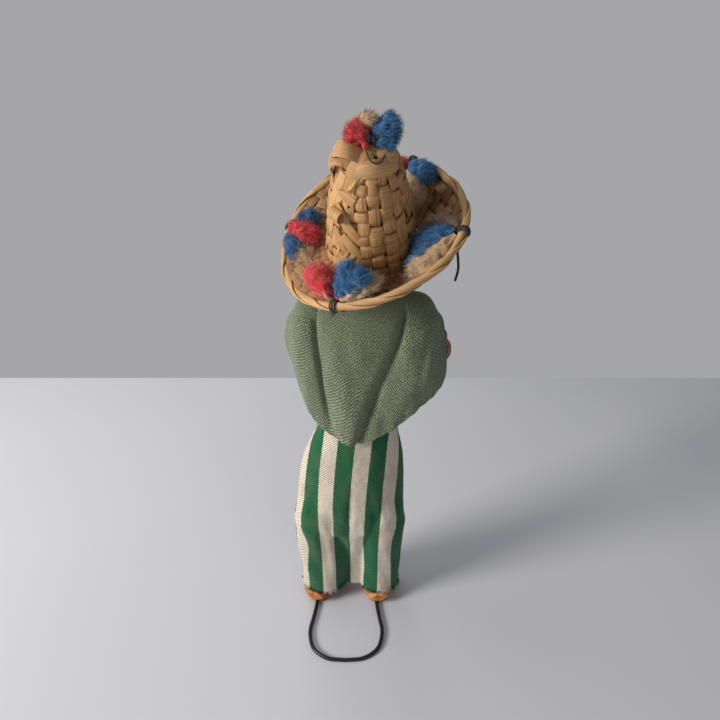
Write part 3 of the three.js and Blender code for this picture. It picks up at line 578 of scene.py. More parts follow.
def green_base(tree):
    weave = open_weave(tree)
    yarn = step_up(tree, cloud(tree, stretched(tree, on_surface(tree), 1.6, 0.5), 1.0, 3.0), 0.3, 0.7)
    warp = mix_colour(tree, yarn, colour(112, 126, 94), colour(166, 176, 140))
    weft = mix_colour(tree, yarn, colour(96, 110, 80), colour(144, 157, 122))
    cloth = mix_colour(tree, weave["Warp"], weft, warp)
    stain = use_group(tree, HANDLING, Place=in_millimetres(tree), Spread=0.045)
    faded = lay_over(tree, cloth, stain["Stain"], 0.35, colour(132, 122, 92))
    dusty = lay_over(tree, faded, stain["Dust"], 0.15, colour(190, 200, 175))
    # The holes between the threads are painted almost black: painted shade seen through the open weave.
    return lay_over(tree, dusty, weave["Hole"], 0.95, colour(14, 18, 10))


def green_height(tree):
    fluff = calc(tree, "MULTIPLY", cloud(tree, on_surface(tree), 5.0, 2.0), 0.25)
    return calc(tree, "MULTIPLY_ADD", open_weave(tree)["Height"], 0.8, fluff)


STRIPE_PERIOD = 20.0
RIB_PITCH = 1.5
THREAD_PITCH = 0.85


def twill_ribs(tree, where=on_surface):
    """Slanting ribs of a coarse twill, and the fine threads along them."""
    parts = add_node(tree, "ShaderNodeSeparateXYZ", {0: where(tree)}).outputs
    slant = calc(tree, "ADD", calc(tree, "MULTIPLY", parts[0], 0.8), calc(tree, "MULTIPLY", parts[1], -0.95))
    ripple = calc(tree, "MULTIPLY", cloud(tree, where(tree), 0.5, 2.0), 0.5)
    across = calc(tree, "ADD", slant, ripple)
    rib = calc(tree, "SINE", calc(tree, "MULTIPLY", across, 2 * math.pi / RIB_PITCH))
    thread = calc(tree, "SINE", calc(tree, "MULTIPLY", parts[0], 2 * math.pi / THREAD_PITCH))
    return calc(tree, "MULTIPLY_ADD", thread, 0.35, rib)


def striped_base(tree, where=on_surface):
    """Green and cream stripes of one width, a little frayed where they meet."""
    parts = add_node(tree, "ShaderNodeSeparateXYZ", {0: where(tree)}).outputs
    frayed = calc(tree, "SUBTRACT", cloud(tree, stretched(tree, where(tree), 0.3, 1.3), 1.0, 2.0), 0.5)
    across = calc(tree, "MULTIPLY_ADD", frayed, 0.9, parts[0])
    phase = calc(tree, "FRACT", calc(tree, "DIVIDE", across, STRIPE_PERIOD))
    off = calc(tree, "ABSOLUTE", calc(tree, "SUBTRACT", phase, 0.5))
    green = step_up(tree, off, 0.251, 0.265, 1.0, 0.0)
    # Both stripe colours are darker in the hollows of the twill's ribs and lighter on their crests: painted
    # shade and painted light of the ribs.
    rib = step_up(tree, twill_ribs(tree, where), -1.0, 1.1)
    cream = mix_colour(tree, rib, colour(180, 161, 138), colour(242, 233, 216))
    dyed = mix_colour(tree, rib, colour(1, 58, 34), colour(8, 116, 66))
    speck = calc(tree, "GREATER_THAN", cloud(tree, stretched(tree, where(tree), 2.2, 2.2), 1.0, 2.0), 0.7)
    worn = lay_over(tree, dyed, speck, 0.35, colour(96, 166, 128))
    cloth = mix_colour(tree, green, cream, worn)
    stain = use_group(tree, HANDLING, Place=in_millimetres(tree), Spread=0.05)["Stain"]
    return lay_over(tree, cloth, stain, 0.18, colour(120, 100, 76))


def at_root(tree):
    """Where a frayed thread leaves its cloth, in the cloth's own surface coordinates."""
    return add_node(tree, "ShaderNodeAttribute", attribute_name="root").outputs["Vector"]


def fringe_base(tree):
    return striped_base(tree, at_root)


def plain_cloth(name, first, second, hole, pitch, drift=0.5, fleck=None):
    """A plain woven cloth with its own two thread colours. Its hole colour serves for its stains and as
    painted shade in the gaps between its threads.
    """

    def base(tree):
        weave = use_group(tree, WEAVE, Place=on_surface(tree), Pitch=pitch, Thread=0.9, Drift=drift)
        cloth = mix_colour(tree, weave["Warp"], first, second)
        if fleck:
            rows = cloud(tree, stretched(tree, on_surface(tree), 0.25, 1.4), 1.0, 1.0)
            cloth = mix_colour(tree, step_up(tree, rows, 0.5, 0.56), cloth, fleck)
        aged = use_group(tree, HANDLING, Place=in_millimetres(tree), Spread=0.08)["Stain"]
        soiled = lay_over(tree, cloth, aged, 0.3, hole)
        # Painted shade: the gaps between the threads take the hole colour.
        return lay_over(tree, soiled, weave["Hole"], 0.7, hole)

    def height(tree):
        return use_group(tree, WEAVE, Place=on_surface(tree), Pitch=pitch, Thread=0.9, Drift=drift)["Height"]

    return finish(name, base, 0.92, height, 0.5, Sheen_Weight=0.15)


def leather_finish(name, light, dark, edge):
    """Grained leather, rubbed to the edge's colour where its tone is high and dark in its seams."""

    def base(tree):
        place = in_millimetres(tree)
        hide = mix_colour(tree, step_up(tree, cloud(tree, place, 0.22, 4.0), 0.35, 0.65), dark, light)
        rubbed = mix_colour(tree, step_up(tree, tone(tree), 0.55, 1.0, 0.0, 0.9), hide, edge)
        seam = mix_colour(tree, step_up(tree, tone(tree), 0.35, 0.05, 0.0, 0.9), rubbed, colour(70, 26, 14))
        scuffs = use_group(tree, HANDLING, Place=place, Spread=0.4)["Dust"]
        return lay_over(tree, seam, scuffs, 0.25, edge)

    def height(tree):
        place = in_millimetres(tree)
        grain = add_node(tree, "ShaderNodeTexVoronoi", {"Vector": place, "Scale": 2.2}).outputs["Distance"]
        return calc(tree, "MULTIPLY_ADD", cloud(tree, place, 0.5, 4.0), 0.8, grain)

    def roughness(tree):
        return step_up(tree, cloud(tree, in_millimetres(tree), 0.4, 3.0), 0.3, 0.7, 0.38, 0.62)

    return finish(name, base, roughness, height, 0.25, Specular_IOR_Level=0.4)


def yarn_finish(name, dark, light, fineness):
    """Black thread and yarn: fine fibres that catch a little light."""

    def base(tree):
        fibres = use_group(tree, FIBRES, Place=on_surface(tree), Fineness=fineness, Length=4.0)
        strand = mix_colour(tree, step_up(tree, fibres["Fibre"], 0.35, 0.75), dark, light)
        return mix_colour(tree, step_up(tree, tone(tree), 0.6, 1.0, 0.0, 0.5), strand, light)

    def height(tree):
        return use_group(tree, FIBRES, Place=on_surface(tree), Fineness=fineness, Length=4.0)["Fibre"]

    return finish(name, base, 0.8, height, 0.4, Sheen_Weight=0.2)


def coated_base(tree):
    chips = step_up(tree, cloud(tree, in_millimetres(tree), 0.6, 5.0, 0.7), 0.66, 0.72)
    return lay_over(tree, colour(30, 33, 38), chips, 0.7, colour(96, 94, 90))


def bare_base(tree):
    dull = cloud(tree, in_millimetres(tree), 0.8, 4.0, 0.65)
    return mix_colour(tree, step_up(tree, dull, 0.35, 0.7), colour(142, 142, 138), colour(98, 92, 84))


def wire_rough(tree):
    return step_up(tree, cloud(tree, in_millimetres(tree), 1.5, 3.0), 0.3, 0.7, 0.3, 0.5)


def wire_height(tree):
    return cloud(tree, in_millimetres(tree), 1.2, 4.0)


PALM = palm_finish("palm strips", colour(218, 172, 115), colour(154, 104, 60))
BRIM_PALM = palm_finish("palm brim", colour(190, 146, 98), colour(132, 92, 58))
# The lining's dark palm, darkened further by its shade, is painted shade seen between the strips.
SHADED_LINING_PALM = palm_finish("palm lining painted shade", colour(84, 56, 34), colour(52, 34, 20), 0.7)
BINDING_PALM = palm_finish("palm binding", colour(230, 188, 130), colour(172, 124, 74))
HUSK = palm_finish("palm husk", colour(186, 130, 88), colour(140, 84, 52))
WOOLS = {
    "red": wool_finish("red wool", colour(240, 40, 56), colour(180, 20, 38), colour(248, 130, 122)),
    "blue": wool_finish("blue wool", colour(16, 116, 178), colour(6, 60, 108), colour(84, 170, 214)),
    "cream": wool_finish("cream wool", colour(226, 194, 152), colour(174, 138, 100), colour(246, 228, 196)),
    "brown": wool_finish("brown wool", colour(176, 142, 110), colour(112, 80, 56), colour(214, 186, 152)),
}
GREEN_CLOTH = finish("open weave cloth", green_base, 0.9, green_height, 0.8, Sheen_Weight=0.2)
STRIPED_TWILL = finish("striped twill", striped_base, 0.88, twill_ribs, 0.22, Sheen_Weight=0.1)
STRIPED_FRINGE = finish("striped fringe", fringe_base, 0.9)
SHIRT_FLECK = colour(206, 150, 132)
SHIRT_CLOTH = plain_cloth(
    "red brown cloth", colour(146, 58, 44), colour(116, 42, 36), colour(60, 20, 18), 0.7, 0.6, SHIRT_FLECK
)
CALICO = plain_cloth("calico", colour(226, 208, 178), colour(212, 192, 160), colour(150, 128, 98), 0.55)
SKIN_CLOTH = plain_cloth("skin cloth", colour(196, 142, 104), colour(182, 128, 92), colour(120, 78, 52), 0.5)
TAN_LEATHER = leather_finish("tan leather", colour(188, 116, 60), colour(142, 74, 36), colour(222, 164, 104))
RUSTY_LEATHER = leather_finish(
    "rusty leather", colour(170, 82, 36), colour(124, 52, 24), colour(208, 134, 76)
)
SOLE_LEATHER = leather_finish("sole leather", colour(150, 96, 56), colour(112, 66, 38), colour(176, 126, 84))
BLACK_THREAD = yarn_finish("black thread", colour(14, 14, 17), colour(52, 54, 60), 9.0)
BLACK_YARN = yarn_finish("hair yarn", colour(18, 14, 12), colour(58, 48, 42), 4.0)
RED_THREAD = yarn_finish("red thread", colour(176, 30, 34), colour(222, 78, 70), 9.0)
BLACK_WIRE = finish("coated wire", coated_base, wire_rough, wire_height, 0.1, Metallic=0.15)
GREY_WIRE = finish("bare wire", bare_base, wire_rough, wire_height, 0.1, Metallic=0.9)


# Hat: the forms that its palm is plaited on


def tilted(tilt, lean):
    """Rows: across, ahead and up of a ring that is tilted back and leans aside."""
    turn = Matrix.Rotation(math.radians(-lean), 3, "Y") @ Matrix.Rotation(math.radians(tilt), 3, "X")
    return np.array(turn).T


HEAD_CENTRE = np.array([SPINE_X, 0.0, 251.5])
CROWN_AXES = tilted(31.0, 3.0)
RIM_AXES = tilted(31.0, 22.0)
CROWN_CENTRE = HEAD_CENTRE + 7.0 * CROWN_AXES[2]
RIM_CENTRE = CROWN_CENTRE + np.array([-1.2, -4.6, 9.2])
RIM_RADIUS = 48.5
RIM_SADDLE = -2.9
BRIM_FLAT = 12.0
BINDING_RADIUS = 2.8

# The crown's radius and height, from its foot to its tip
CROWN_FOOT = 22
CROWN_OUTLINE = [(CROWN_FOOT, 0, 0), (18.4, 28, 0), (13.6, 48, 0), (8.16, 57.5, 0), (0.01, 59, 0)]
PROFILE = curve(CROWN_OUTLINE, np.linspace(0, 1, 240))[:, :2]
PROFILE_RISE = np.concatenate([[0], np.cumsum(np.linalg.norm(np.diff(PROFILE, axis=0), axis=1))])
PROFILE_SLOPE = unit(np.gradient(PROFILE, axis=0))
CROWN_RISE = float(PROFILE_RISE[-1])


def polar(axes, angle):
    angle = np.asarray(angle, float)[..., None]
    return axes[0] * np.cos(angle) + axes[1] * np.sin(angle)


def crown(angle, rise, off=0.0):
    """A point of the crown at an angle in degrees and a way up its side, and its normal."""
    angle, rise, off = np.broadcast_arrays(np.radians(angle), rise, off)
    radius, height = (np.interp(rise, PROFILE_RISE, PROFILE[:, k]) for k in (0, 1))
    inward, upward = (np.interp(rise, PROFILE_RISE, PROFILE_SLOPE[:, k]) for k in (0, 1))
    ring = polar(CROWN_AXES, angle)
    normal = unit(ring * upward[..., None] - CROWN_AXES[2] * inward[..., None])
    point = CROWN_CENTRE + ring * radius[..., None] + CROWN_AXES[2] * height[..., None]
    return point + normal * off[..., None], normal


def rim(angle):
    angle = np.radians(np.asarray(angle, float))
    lift = RIM_SADDLE * np.cos(2 * angle)
    return RIM_CENTRE + RIM_RADIUS * polar(RIM_AXES, angle) + lift[..., None] * RIM_AXES[2]


def brim_line(angle, share):
    angle, share = np.broadcast_arrays(np.asarray(angle, float), np.asarray(share, float))
    base = crown(angle, 0.0)[0]
    flare = base + BRIM_FLAT * polar(CROWN_AXES, np.radians(angle))
    way = share[..., None]
    return base * (1 - way) ** 2 + flare * 2 * way * (1 - way) + rim(angle) * way**2


def brim(angle, share, off=0.0):
    """A point of the brim between the crown and the rim, and its normal, which faces up."""
    around = brim_line(np.asarray(angle) + 0.5, share) - brim_line(np.asarray(angle) - 0.5, share)
    outward_way = brim_line(angle, np.asarray(share) + 0.01) - brim_line(angle, np.asarray(share) - 0.01)
    normal = unit(np.cross(outward_way, around))
    off = np.broadcast_to(off, normal.shape[:-1])
    return brim_line(angle, share) + normal * off[..., None], normal


def weave_lift(phase):
    """Rises over one strip and dips under the next, with flat tops."""
    return np.tanh(2.2 * np.cos(np.pi * phase)) / np.tanh(2.2)


def lay(shape, place, sideways, upways, off, width, **options):
    """A palm strip along places on a form, each a sideways and an upways number."""
    path, normal = place(sideways, upways, off)
    shape.ribbon(path, normal, width, **options)


def lay_through(shape, place, marks, width, off, steps=40, **options):
    """A palm strip through a few marks on a form: sideways, upways and height over it."""
    way = along_path(marks, steps)
    lay(shape, place, way[:, 0], way[:, 1], way[:, 2] + off, width, **options)


def from_tip(marks):
    """Marks on the crown whose second number is the way down from its tip."""
    return [(angle, CROWN_RISE - down, height) for angle, down, height in marks]


def random_numbers(seed):
    return np.random.default_rng(seed)


# Hat: crown

CROWN_STRIPS = 18
CROWN_ROWS = 9
CROWN_ROW_PITCH = 6.35
CROWN_TWIST = 0.12
WEAVE_DEPTH = 0.85


def crown_weave():
    """Upright strips and rings that pass over and under each other."""
    shape = Shape()
    pick = random_numbers(4)
    for i in range(CROWN_STRIPS):
        rise = np.linspace(-1.5, CROWN_RISE - 15, 130)
        sway = pick.uniform(-5, 5)
        angle = 360 * i / CROWN_STRIPS + sway * np.sin(rise / 14) - CROWN_TWIST * rise
        radius = np.interp(rise, PROFILE_RISE, PROFILE[:, 0])
        width = np.minimum(2 * math.pi * radius / CROWN_STRIPS * pick.uniform(0.78, 0.98), 6.8)
        phase = rise / CROWN_ROW_PITCH - 0.5 + i
        off = -WEAVE_DEPTH * weave_lift(phase) + 0.3 + pick.uniform(-0.05, 0.1)
        options = {"tone": pick.uniform(0.1, 0.85), "bow": 0.5, "thickness": 0.45, "slip": 31 * i}
        lay(shape, crown, angle, rise, off, width, **options)
    for j in range(CROWN_ROWS):
        turn = np.linspace(0, 360, 260, endpoint=False)
        sway = 1.5 * np.sin(np.radians(turn) + j * 1.7) + 0.8 * np.sin(np.radians(3 * turn) + 2 * j)
        rise = CROWN_ROW_PITCH * (j + 0.5) + sway
        phase = CROWN_STRIPS * (turn + CROWN_TWIST * rise) / 360 + j
        off = WEAVE_DEPTH * weave_lift(phase) + 0.3 + 0.05 * pick.standard_normal()
        width = CROWN_ROW_PITCH * pick.uniform(0.76, 0.92)
        options = {"tone": pick.uniform(0.1, 0.9), "bow": 0.55, "thickness": 0.45, "slip": 17 * j}
        lay(shape, crown, turn, rise, off, width, closed=True, **options)
    return shape


# Strips over the crown's tip and down its left side: their marks from the tip, each an angle, a way
# down and a height, then width, bow and tone
CAP_STRIPS = [
    ([(-42, 16, 0.4), (-34, 9, 0.9), (-20, 1, 1.2)], 8.6, 0.9, 0.75),
    ([(130, 14, 0), (140, 6, 0.6), (155, 0.4, 1.0)], 7.6, 0.8, 0.5),
    ([(262, 13, 0.6), (258, 7, 1.0), (250, 0.5, 1.2)], 8.4, 1.0, 0.62),
    ([(300, 6.5, 1.0), (325, 7.5, 1.6), (352, 9, 0.8)], 7.2, 1.3, 0.9),
    ([(238, 17, -0.3), (252, 12.8, 1.0), (276, 12, 1.5), (306, 12.8, 0.8), (322, 14.5, -0.3)], 7.6, 1.4, 0.8),
    ([(246, 7.0, 0.2), (264, 5.6, 1.2), (286, 5.0, 1.5), (312, 6.4, 0.4)], 6.4, 1.2, 0.72),
    ([(276, 5, 1.2), (252, 9, 1.6), (238, 16, 1.3), (232, 24, 0.9)], 6.6, 0.7, 0.7),
    ([(30, 15, 0), (45, 8, 0.8), (60, 1, 1.0)], 7.8, 0.8, 0.5),
    ([(95, 15, 0), (92, 8, 0.7), (80, 0.6, 1.0)], 7.8, 0.8, 0.6),
    ([(10, 17, 0.2), (60, 18, 0.9), (120, 17, 0.9), (175, 18, 0.3)], 6.8, 0.9, 0.55),
    ([(226, 16, 1.0), (214, 26, 0.9), (204, 38, 0.8), (199, 47, 0.6)], 7.4, 0.4, 0.85),
    ([(247, 26, 0.9), (229, 24, 1.1), (211, 22, 0.9)], 6.2, 0.6, 0.7),
    ([(240, 42, 0.2), (228, 35, 1.2), (215, 30.5, 1.6)], 5.6, 0.5, 0.78),
    ([(252, 46, 0.2), (240, 40, 1.2), (226, 36.5, 1.0)], 5.2, 0.5, 0.66),
    ([(256, 56, 0.2), (244, 50, 1.1), (229, 45, 1.2)], 5.4, 0.5, 0.72),
    ([(236, 58, 0.2), (228, 51, 1.1), (217, 44, 1.0)], 5.0, 0.5, 0.6),
]


def crown_cap(shape):
    """Broad strips bent over the tip, and the loose ones down the left side."""
    for number, (marks, width, bow, tone_value) in enumerate(CAP_STRIPS):
        options = {"tone": tone_value, "bow": bow, "thickness": 0.5, "slip": 57 * number}
        lay_through(shape, crown, from_tip(marks), width, 0.75, **options)
    return shape


def hat_shaded_lining():
    """The inner layer of the plait, which closes the gaps between the strips. Its dark colour is painted
    shade in those gaps.
    """
    sides = 96
    turn = np.linspace(0, 360, sides, endpoint=False)
    rises = np.linspace(CROWN_RISE - 0.05, 0, 60)
    shares = np.linspace(0.06, 0.975, 26)
    layers = []
    for off in (-0.25, -0.85):
        side = np.stack([crown(turn, rise, off)[0] for rise in rises])
        flat = np.stack([brim(turn, share, off)[0] for share in shares])
        layers.append(np.concatenate([side, flat]))
    skin = np.concatenate([layers[0], layers[1][::-1]])
    shape = Shape()
    shape.closed_form(skin, grid_coords(np.linspace(0, 130, sides + 1), np.arange(len(skin)) * 1.2), 0.3)
    return shape


def crown_loop():
    """The folded strip that stands off the crown's top left, and the one inside its fold."""
    shape = Shape()
    outer = [(254, 8, 1.0), (240, 8, 3.2), (222, 8.5, 6.2), (204, 9.5, 7.0), (190, 11, 4.6), (182, 12, 1.4)]
    inner = [(228, 11, 1.0), (214, 11, 3.4), (200, 12.5, 5.2), (190, 16, 4.6), (186, 20, 2.2), (186, 24, 0.9)]
    options = {"thickness": 0.6, "bow": 0.5}
    lay_through(shape, crown, from_tip(outer), 6.6, 0.4, tone=0.8, **options)
    lay_through(shape, crown, from_tip(inner), 6.0, 0.3, tone=0.62, slip=40, **options)
    return shape


CURL_RADIUS = 3.4


def crown_curl():
    """A strip that comes down the crown's left side, its end rolled up and open towards the back."""
    shape = Shape()
    turn = np.linspace(0, 1, 60)
    radius = CURL_RADIUS * (1 - 0.45 * turn)
    angle = math.pi * (1.0 + 2.7 * turn)
    middle, out = crown(224, 34.5, CURL_RADIUS + 0.7)
    up = unit(crown(219, 38)[0] - crown(219, 32)[0])
    out = unit(out - up * np.dot(out, up))
    spiral = radius[:, None] * (np.cos(angle)[:, None] * out + np.sin(angle)[:, None] * up)
    marks = np.array([(243, 57, 1.6), (233, 49, 1.9), (226, 41.5, 1.5)])
    lead, facing = crown(marks[:, 0], marks[:, 1], marks[:, 2])
    path = along_path(np.concatenate([lead, middle + spiral]), 110)
    normals = along_path(np.concatenate([facing, -unit(spiral)]), 110)
    shape.ribbon(path, unit(normals), 6.6, thickness=0.45, bow=0.0, tone=0.8)
    return shape


def loose_ends():
    """Split ends of palm that stick out low on the left."""
    shape = Shape()
    pick = random_numbers(8)
    for k in range(9):
        angle, rise = 226 + 3.2 * k + pick.uniform(-2, 2), 6 + pick.uniform(-3, 7)
        reach = pick.uniform(5, 10)
        tip = (angle + pick.uniform(-16, 6), rise - 1, 3.2 + 1.4 * (k % 3))
        marks = [(angle + 3, rise + reach, 0.4), (angle, rise + 3, 1.6), tip]
        width = np.linspace(2.4, 0.5, 16) * pick.uniform(0.7, 1.2)
        options = {"tone": pick.uniform(0.4, 1.0), "bow": 0.1, "thickness": 0.3, "slip": 9 * k}
        lay_through(shape, crown, marks, width, 0.6, 16, **options)
    return shape


# Hat: brim and its binding

BRIM_STRIPS = 42
BRIM_ROWS = 5
BRIM_TWIST = 5
BRIM_DEPTH = 0.6
BRIM_WIDTH = 30
WRAPS = 15
MM_PER_DEGREE = 0.85


def brim_weave(under=False):
    """Radial strips and rings of the brim, over and under each other, on its upper or under side."""
    shape = Shape()
    turn_over, middle = (-1, -1.25) if under else (1, 0.15)
    pick = random_numbers(5)
    for i in range(BRIM_STRIPS):
        share = np.linspace(0.0, 0.985, 70)
        angle = 360 * i / BRIM_STRIPS + pick.uniform(-0.8, 0.8) + BRIM_TWIST * share
        room = 2 * math.pi * (CROWN_FOOT + (RIM_RADIUS - CROWN_FOOT) * share) / BRIM_STRIPS
        off = middle - turn_over * BRIM_DEPTH * weave_lift(share * BRIM_ROWS - 0.5 + i)
        options = {"tone": pick.uniform(0.05, 0.8), "bow": 0.35 * turn_over, "thickness": 0.4, "slip": 23 * i}
        lay(shape, brim, angle, share, off, room * pick.uniform(0.76, 0.94), **options)
    for j in range(BRIM_ROWS):
        turn = np.linspace(0, 360, 420, endpoint=False)
        share = (j + 0.5) / BRIM_ROWS + 0.012 * np.sin(np.radians(2 * turn) + j)
        phase = BRIM_STRIPS * (turn - BRIM_TWIST * share) / 360 + j
        off = middle + turn_over * BRIM_DEPTH * weave_lift(phase)
        width = BRIM_WIDTH / BRIM_ROWS * 0.82
        options = {"tone": pick.uniform(0.2, 0.7), "bow": 0.3 * turn_over, "thickness": 0.4, "slip": 29 * j}
        lay(shape, brim, turn, share, off, width, closed=True, **options)
    return shape


def rim_section(angle, turn, radius):
    """A point of the binding: its angle round the rim and its turn round the edge, in degrees."""
    ahead = unit(rim(angle + 0.5) - rim(angle - 0.5))
    out = unit(np.cross(ahead, RIM_AXES[2]))
    lift = np.cross(out, ahead)
    way = np.radians(turn)[..., None]
    return rim(angle) + radius[..., None] * (np.cos(way) * out + np.sin(way) * lift)


def brim_binding():
    """One palm strip wound round the brim's edge. Each turn laps over the next one."""
    shape = Shape()
    pick = random_numbers(6)
    # Across one turn of the strip, from the edge that the last turn covers: place, height and tone. The tone
    # is painted shade and light: darkest under the last turn's lap and at the turn's own edge, palest near
    # its raised crest.
    across = np.array([0.0, 0.03, 0.12, 0.28, 0.46, 0.64, 0.8, 0.91, 0.97, 1.0])
    swell = np.array([-0.75, -0.6, -0.3, -0.05, 0.15, 0.32, 0.45, 0.5, 0.4, -0.1])
    painted_shade_and_light = np.array([0.0, 0.1, 0.35, 0.45, 0.55, 0.6, 0.7, 0.85, 0.95, 0.1])
    sections = 26
    marks = np.cumsum(pick.uniform(0.72, 1.28, WRAPS))
    starts = np.concatenate([[0], marks]) / marks[-1] * 360
    angles, radii, tones = [], [], []
    for k in range(WRAPS):
        bulge = pick.uniform(0.75, 1.25)
        angles.append(starts[k] + (starts[k + 1] - starts[k]) * across)
        radii.append(BINDING_RADIUS - 0.95 + swell * bulge)
        tones.append(painted_shade_and_light + pick.uniform(-0.12, 0.15))
    rows = [np.concatenate(part) for part in (angles, radii, tones)]
    lap = 2 * len(across)
    before = [np.roll(row, lap) for row in rows]
    before[0][:lap] -= 360
    way = np.linspace(0, 1, sections)[:, None]
    angle_grid, radius_grid, tone_grid = (a * (1 - way) + b * way for a, b in zip(rows, before))
    turn_grid = np.broadcast_to(360 * way + 150, angle_grid.shape)
    points = rim_section(angle_grid, turn_grid, radius_grid)
    points = rim_section(angle_grid, turn_grid, radius_grid + wobble(points, 3.0, 2, 0.35))
    around = MM_PER_DEGREE * np.concatenate([rows[0], [360 + rows[0][0]]])
    shape.grid(points, grid_coords(around, np.linspace(0, 20.0, sections)), tone_grid, False, True)
    return shape


# Wool


def fibre_tree():
    """Short curved fibres that grow from a lock's surface along its combed direction."""
    tree = bpy.data.node_groups.new("wool fibres", "GeometryNodeTree")
    face = tree.interface
    face.new_socket("Geometry", in_out="INPUT", socket_type="NodeSocketGeometry")
    for label, kind in (
        ("Density", "Float"),
        ("Length", "Float"),
        ("Thickness", "Float"),
        ("Spread", "Float"),
        ("Seed", "Int"),
        ("Wool", "Material"),
    ):
        face.new_socket(label, in_out="INPUT", socket_type="NodeSocket" + kind)
    face.new_socket("Geometry", in_out="OUTPUT", socket_type="NodeSocketGeometry")
    given = tree.nodes.new("NodeGroupInput").outputs
    result = tree.nodes.new("NodeGroupOutput").inputs

    def add(kind, inputs=None, **settings):
        return add_node(tree, kind, inputs, **settings)

    def vary(low, high, shift, kind="FLOAT"):
        inputs = {"Seed": calc(tree, "ADD", given["Seed"], shift)}
        made = add("FunctionNodeRandomValue", inputs, data_type=kind)
        numbers = (0, 1) if kind == "FLOAT_VECTOR" else (2, 3)
        made.inputs[numbers[0]].default_value = low
        made.inputs[numbers[1]].default_value = high
        return made.outputs[0 if kind == "FLOAT_VECTOR" else 1]

    length = given["Length"]
    bow, half, hook = (calc(tree, "MULTIPLY", length, share) for share in (0.16, 0.5, -0.02))
    bend = add("ShaderNodeCombineXYZ", {0: bow, 2: half})
    tip = add("ShaderNodeCombineXYZ", {0: hook, 2: length})
    inputs = {"Resolution": 3, "Start": (0, 0, 0), "Middle": bend.outputs[0], "End": tip.outputs[0]}
    line = add("GeometryNodeCurveQuadraticBezier", inputs)
    share = add("GeometryNodeSplineParameter").outputs["Factor"]
    taper = calc(tree, "MULTIPLY", given["Thickness"], calc(tree, "MULTIPLY_ADD", share, -0.85, 1.0))
    ring = add("GeometryNodeCurvePrimitiveCircle", {"Resolution": 3, "Radius": 1.0})
    inputs = {"Curve": line.outputs[0], "Profile Curve": ring.outputs[0], "Scale": taper, "Fill Caps": True}
    strand = add("GeometryNodeCurveToMesh", inputs)
    inputs = {"Mesh": given["Geometry"], "Density": given["Density"], "Seed": given["Seed"]}
    roots = add("GeometryNodeDistributePointsOnFaces", inputs)
    comb = add("GeometryNodeInputNamedAttribute", {"Name": "comb"}, data_type="FLOAT_VECTOR").outputs[0]
    stray = vary((-1, -1, -1), (1, 1, 1), 3, "FLOAT_VECTOR")
    strayed = add("ShaderNodeVectorMath", {0: stray, "Scale": given["Spread"]}, operation="SCALE").outputs[0]
    way = add("ShaderNodeVectorMath", {0: comb, 1: strayed}, operation="ADD").outputs[0]
    aimed = add("FunctionNodeAlignRotationToVector", {"Vector": way}, axis="Z").outputs[0]
    spin = add("ShaderNodeCombineXYZ", {2: vary(0.0, 6.283, 5)})
    inputs = {0: aimed, 1: spin.outputs[0]}
    turned = add("FunctionNodeRotateRotation", inputs, rotation_space="LOCAL").outputs[0]
    inputs = {
        "Points": roots.outputs[0],
        "Instance": strand.outputs[0],
        "Rotation": turned,
        "Scale": vary(0.45, 1.25, 7),
    }
    planted = add("GeometryNodeInstanceOnPoints", inputs)
    inputs = {"Geometry": planted.outputs[0], "Name": "tone", "Value": vary(0.05, 1.0, 9)}
    toned = add("GeometryNodeStoreNamedAttribute", inputs, data_type="FLOAT", domain="INSTANCE")
    real = add("GeometryNodeRealizeInstances", {"Geometry": toned.outputs[0]})
    both = add("GeometryNodeJoinGeometry")
    tree.links.new(real.outputs[0], both.inputs[0])
    tree.links.new(given["Geometry"], both.inputs[0])
    dyed = add("GeometryNodeSetMaterial", {"Geometry": both.outputs[0], "Material": given["Wool"]})
    tree.links.new(dyed.outputs[0], result[0])
    return tree


def grow(thing, tree, **values):
    """Runs a geometry tree with its inputs set by name, and keeps the plain mesh."""
    modifier = thing.modifiers.new("grow", "NODES")
    modifier.node_group = tree
    given = (item for item in tree.interface.items_tree if item.in_out == "INPUT")
    sockets = {item.name: item.identifier for item in given}
    for name, value in values.items():
        modifier[sockets[name]] = value
    return settled(thing)


def with_comb(thing, directions):
    """The way that fibres are combed, at each point of what they grow on."""
    layer = thing.data.attributes.new("comb", "FLOAT_VECTOR", "POINT")
    layer.data.foreach_set("vector", np.asarray(directions, np.float32).ravel())


def plant(thing, count, length, thickness, spread, seed, covering):
    """Grows about that many fibres on the object, all over its faces."""
    area = sum(face.area for face in thing.data.polygons)
    sizes = {"Length": length * MM, "Thickness": thickness * MM, "Spread": spread}
    return grow(thing, FIBRE_TREE, Density=count / area, Seed=seed, Wool=covering, **sizes)


FIBRE_TREE = fibre_tree()

LOCK_FLATNESS = 0.72
LOCK_FIBRES = 1700


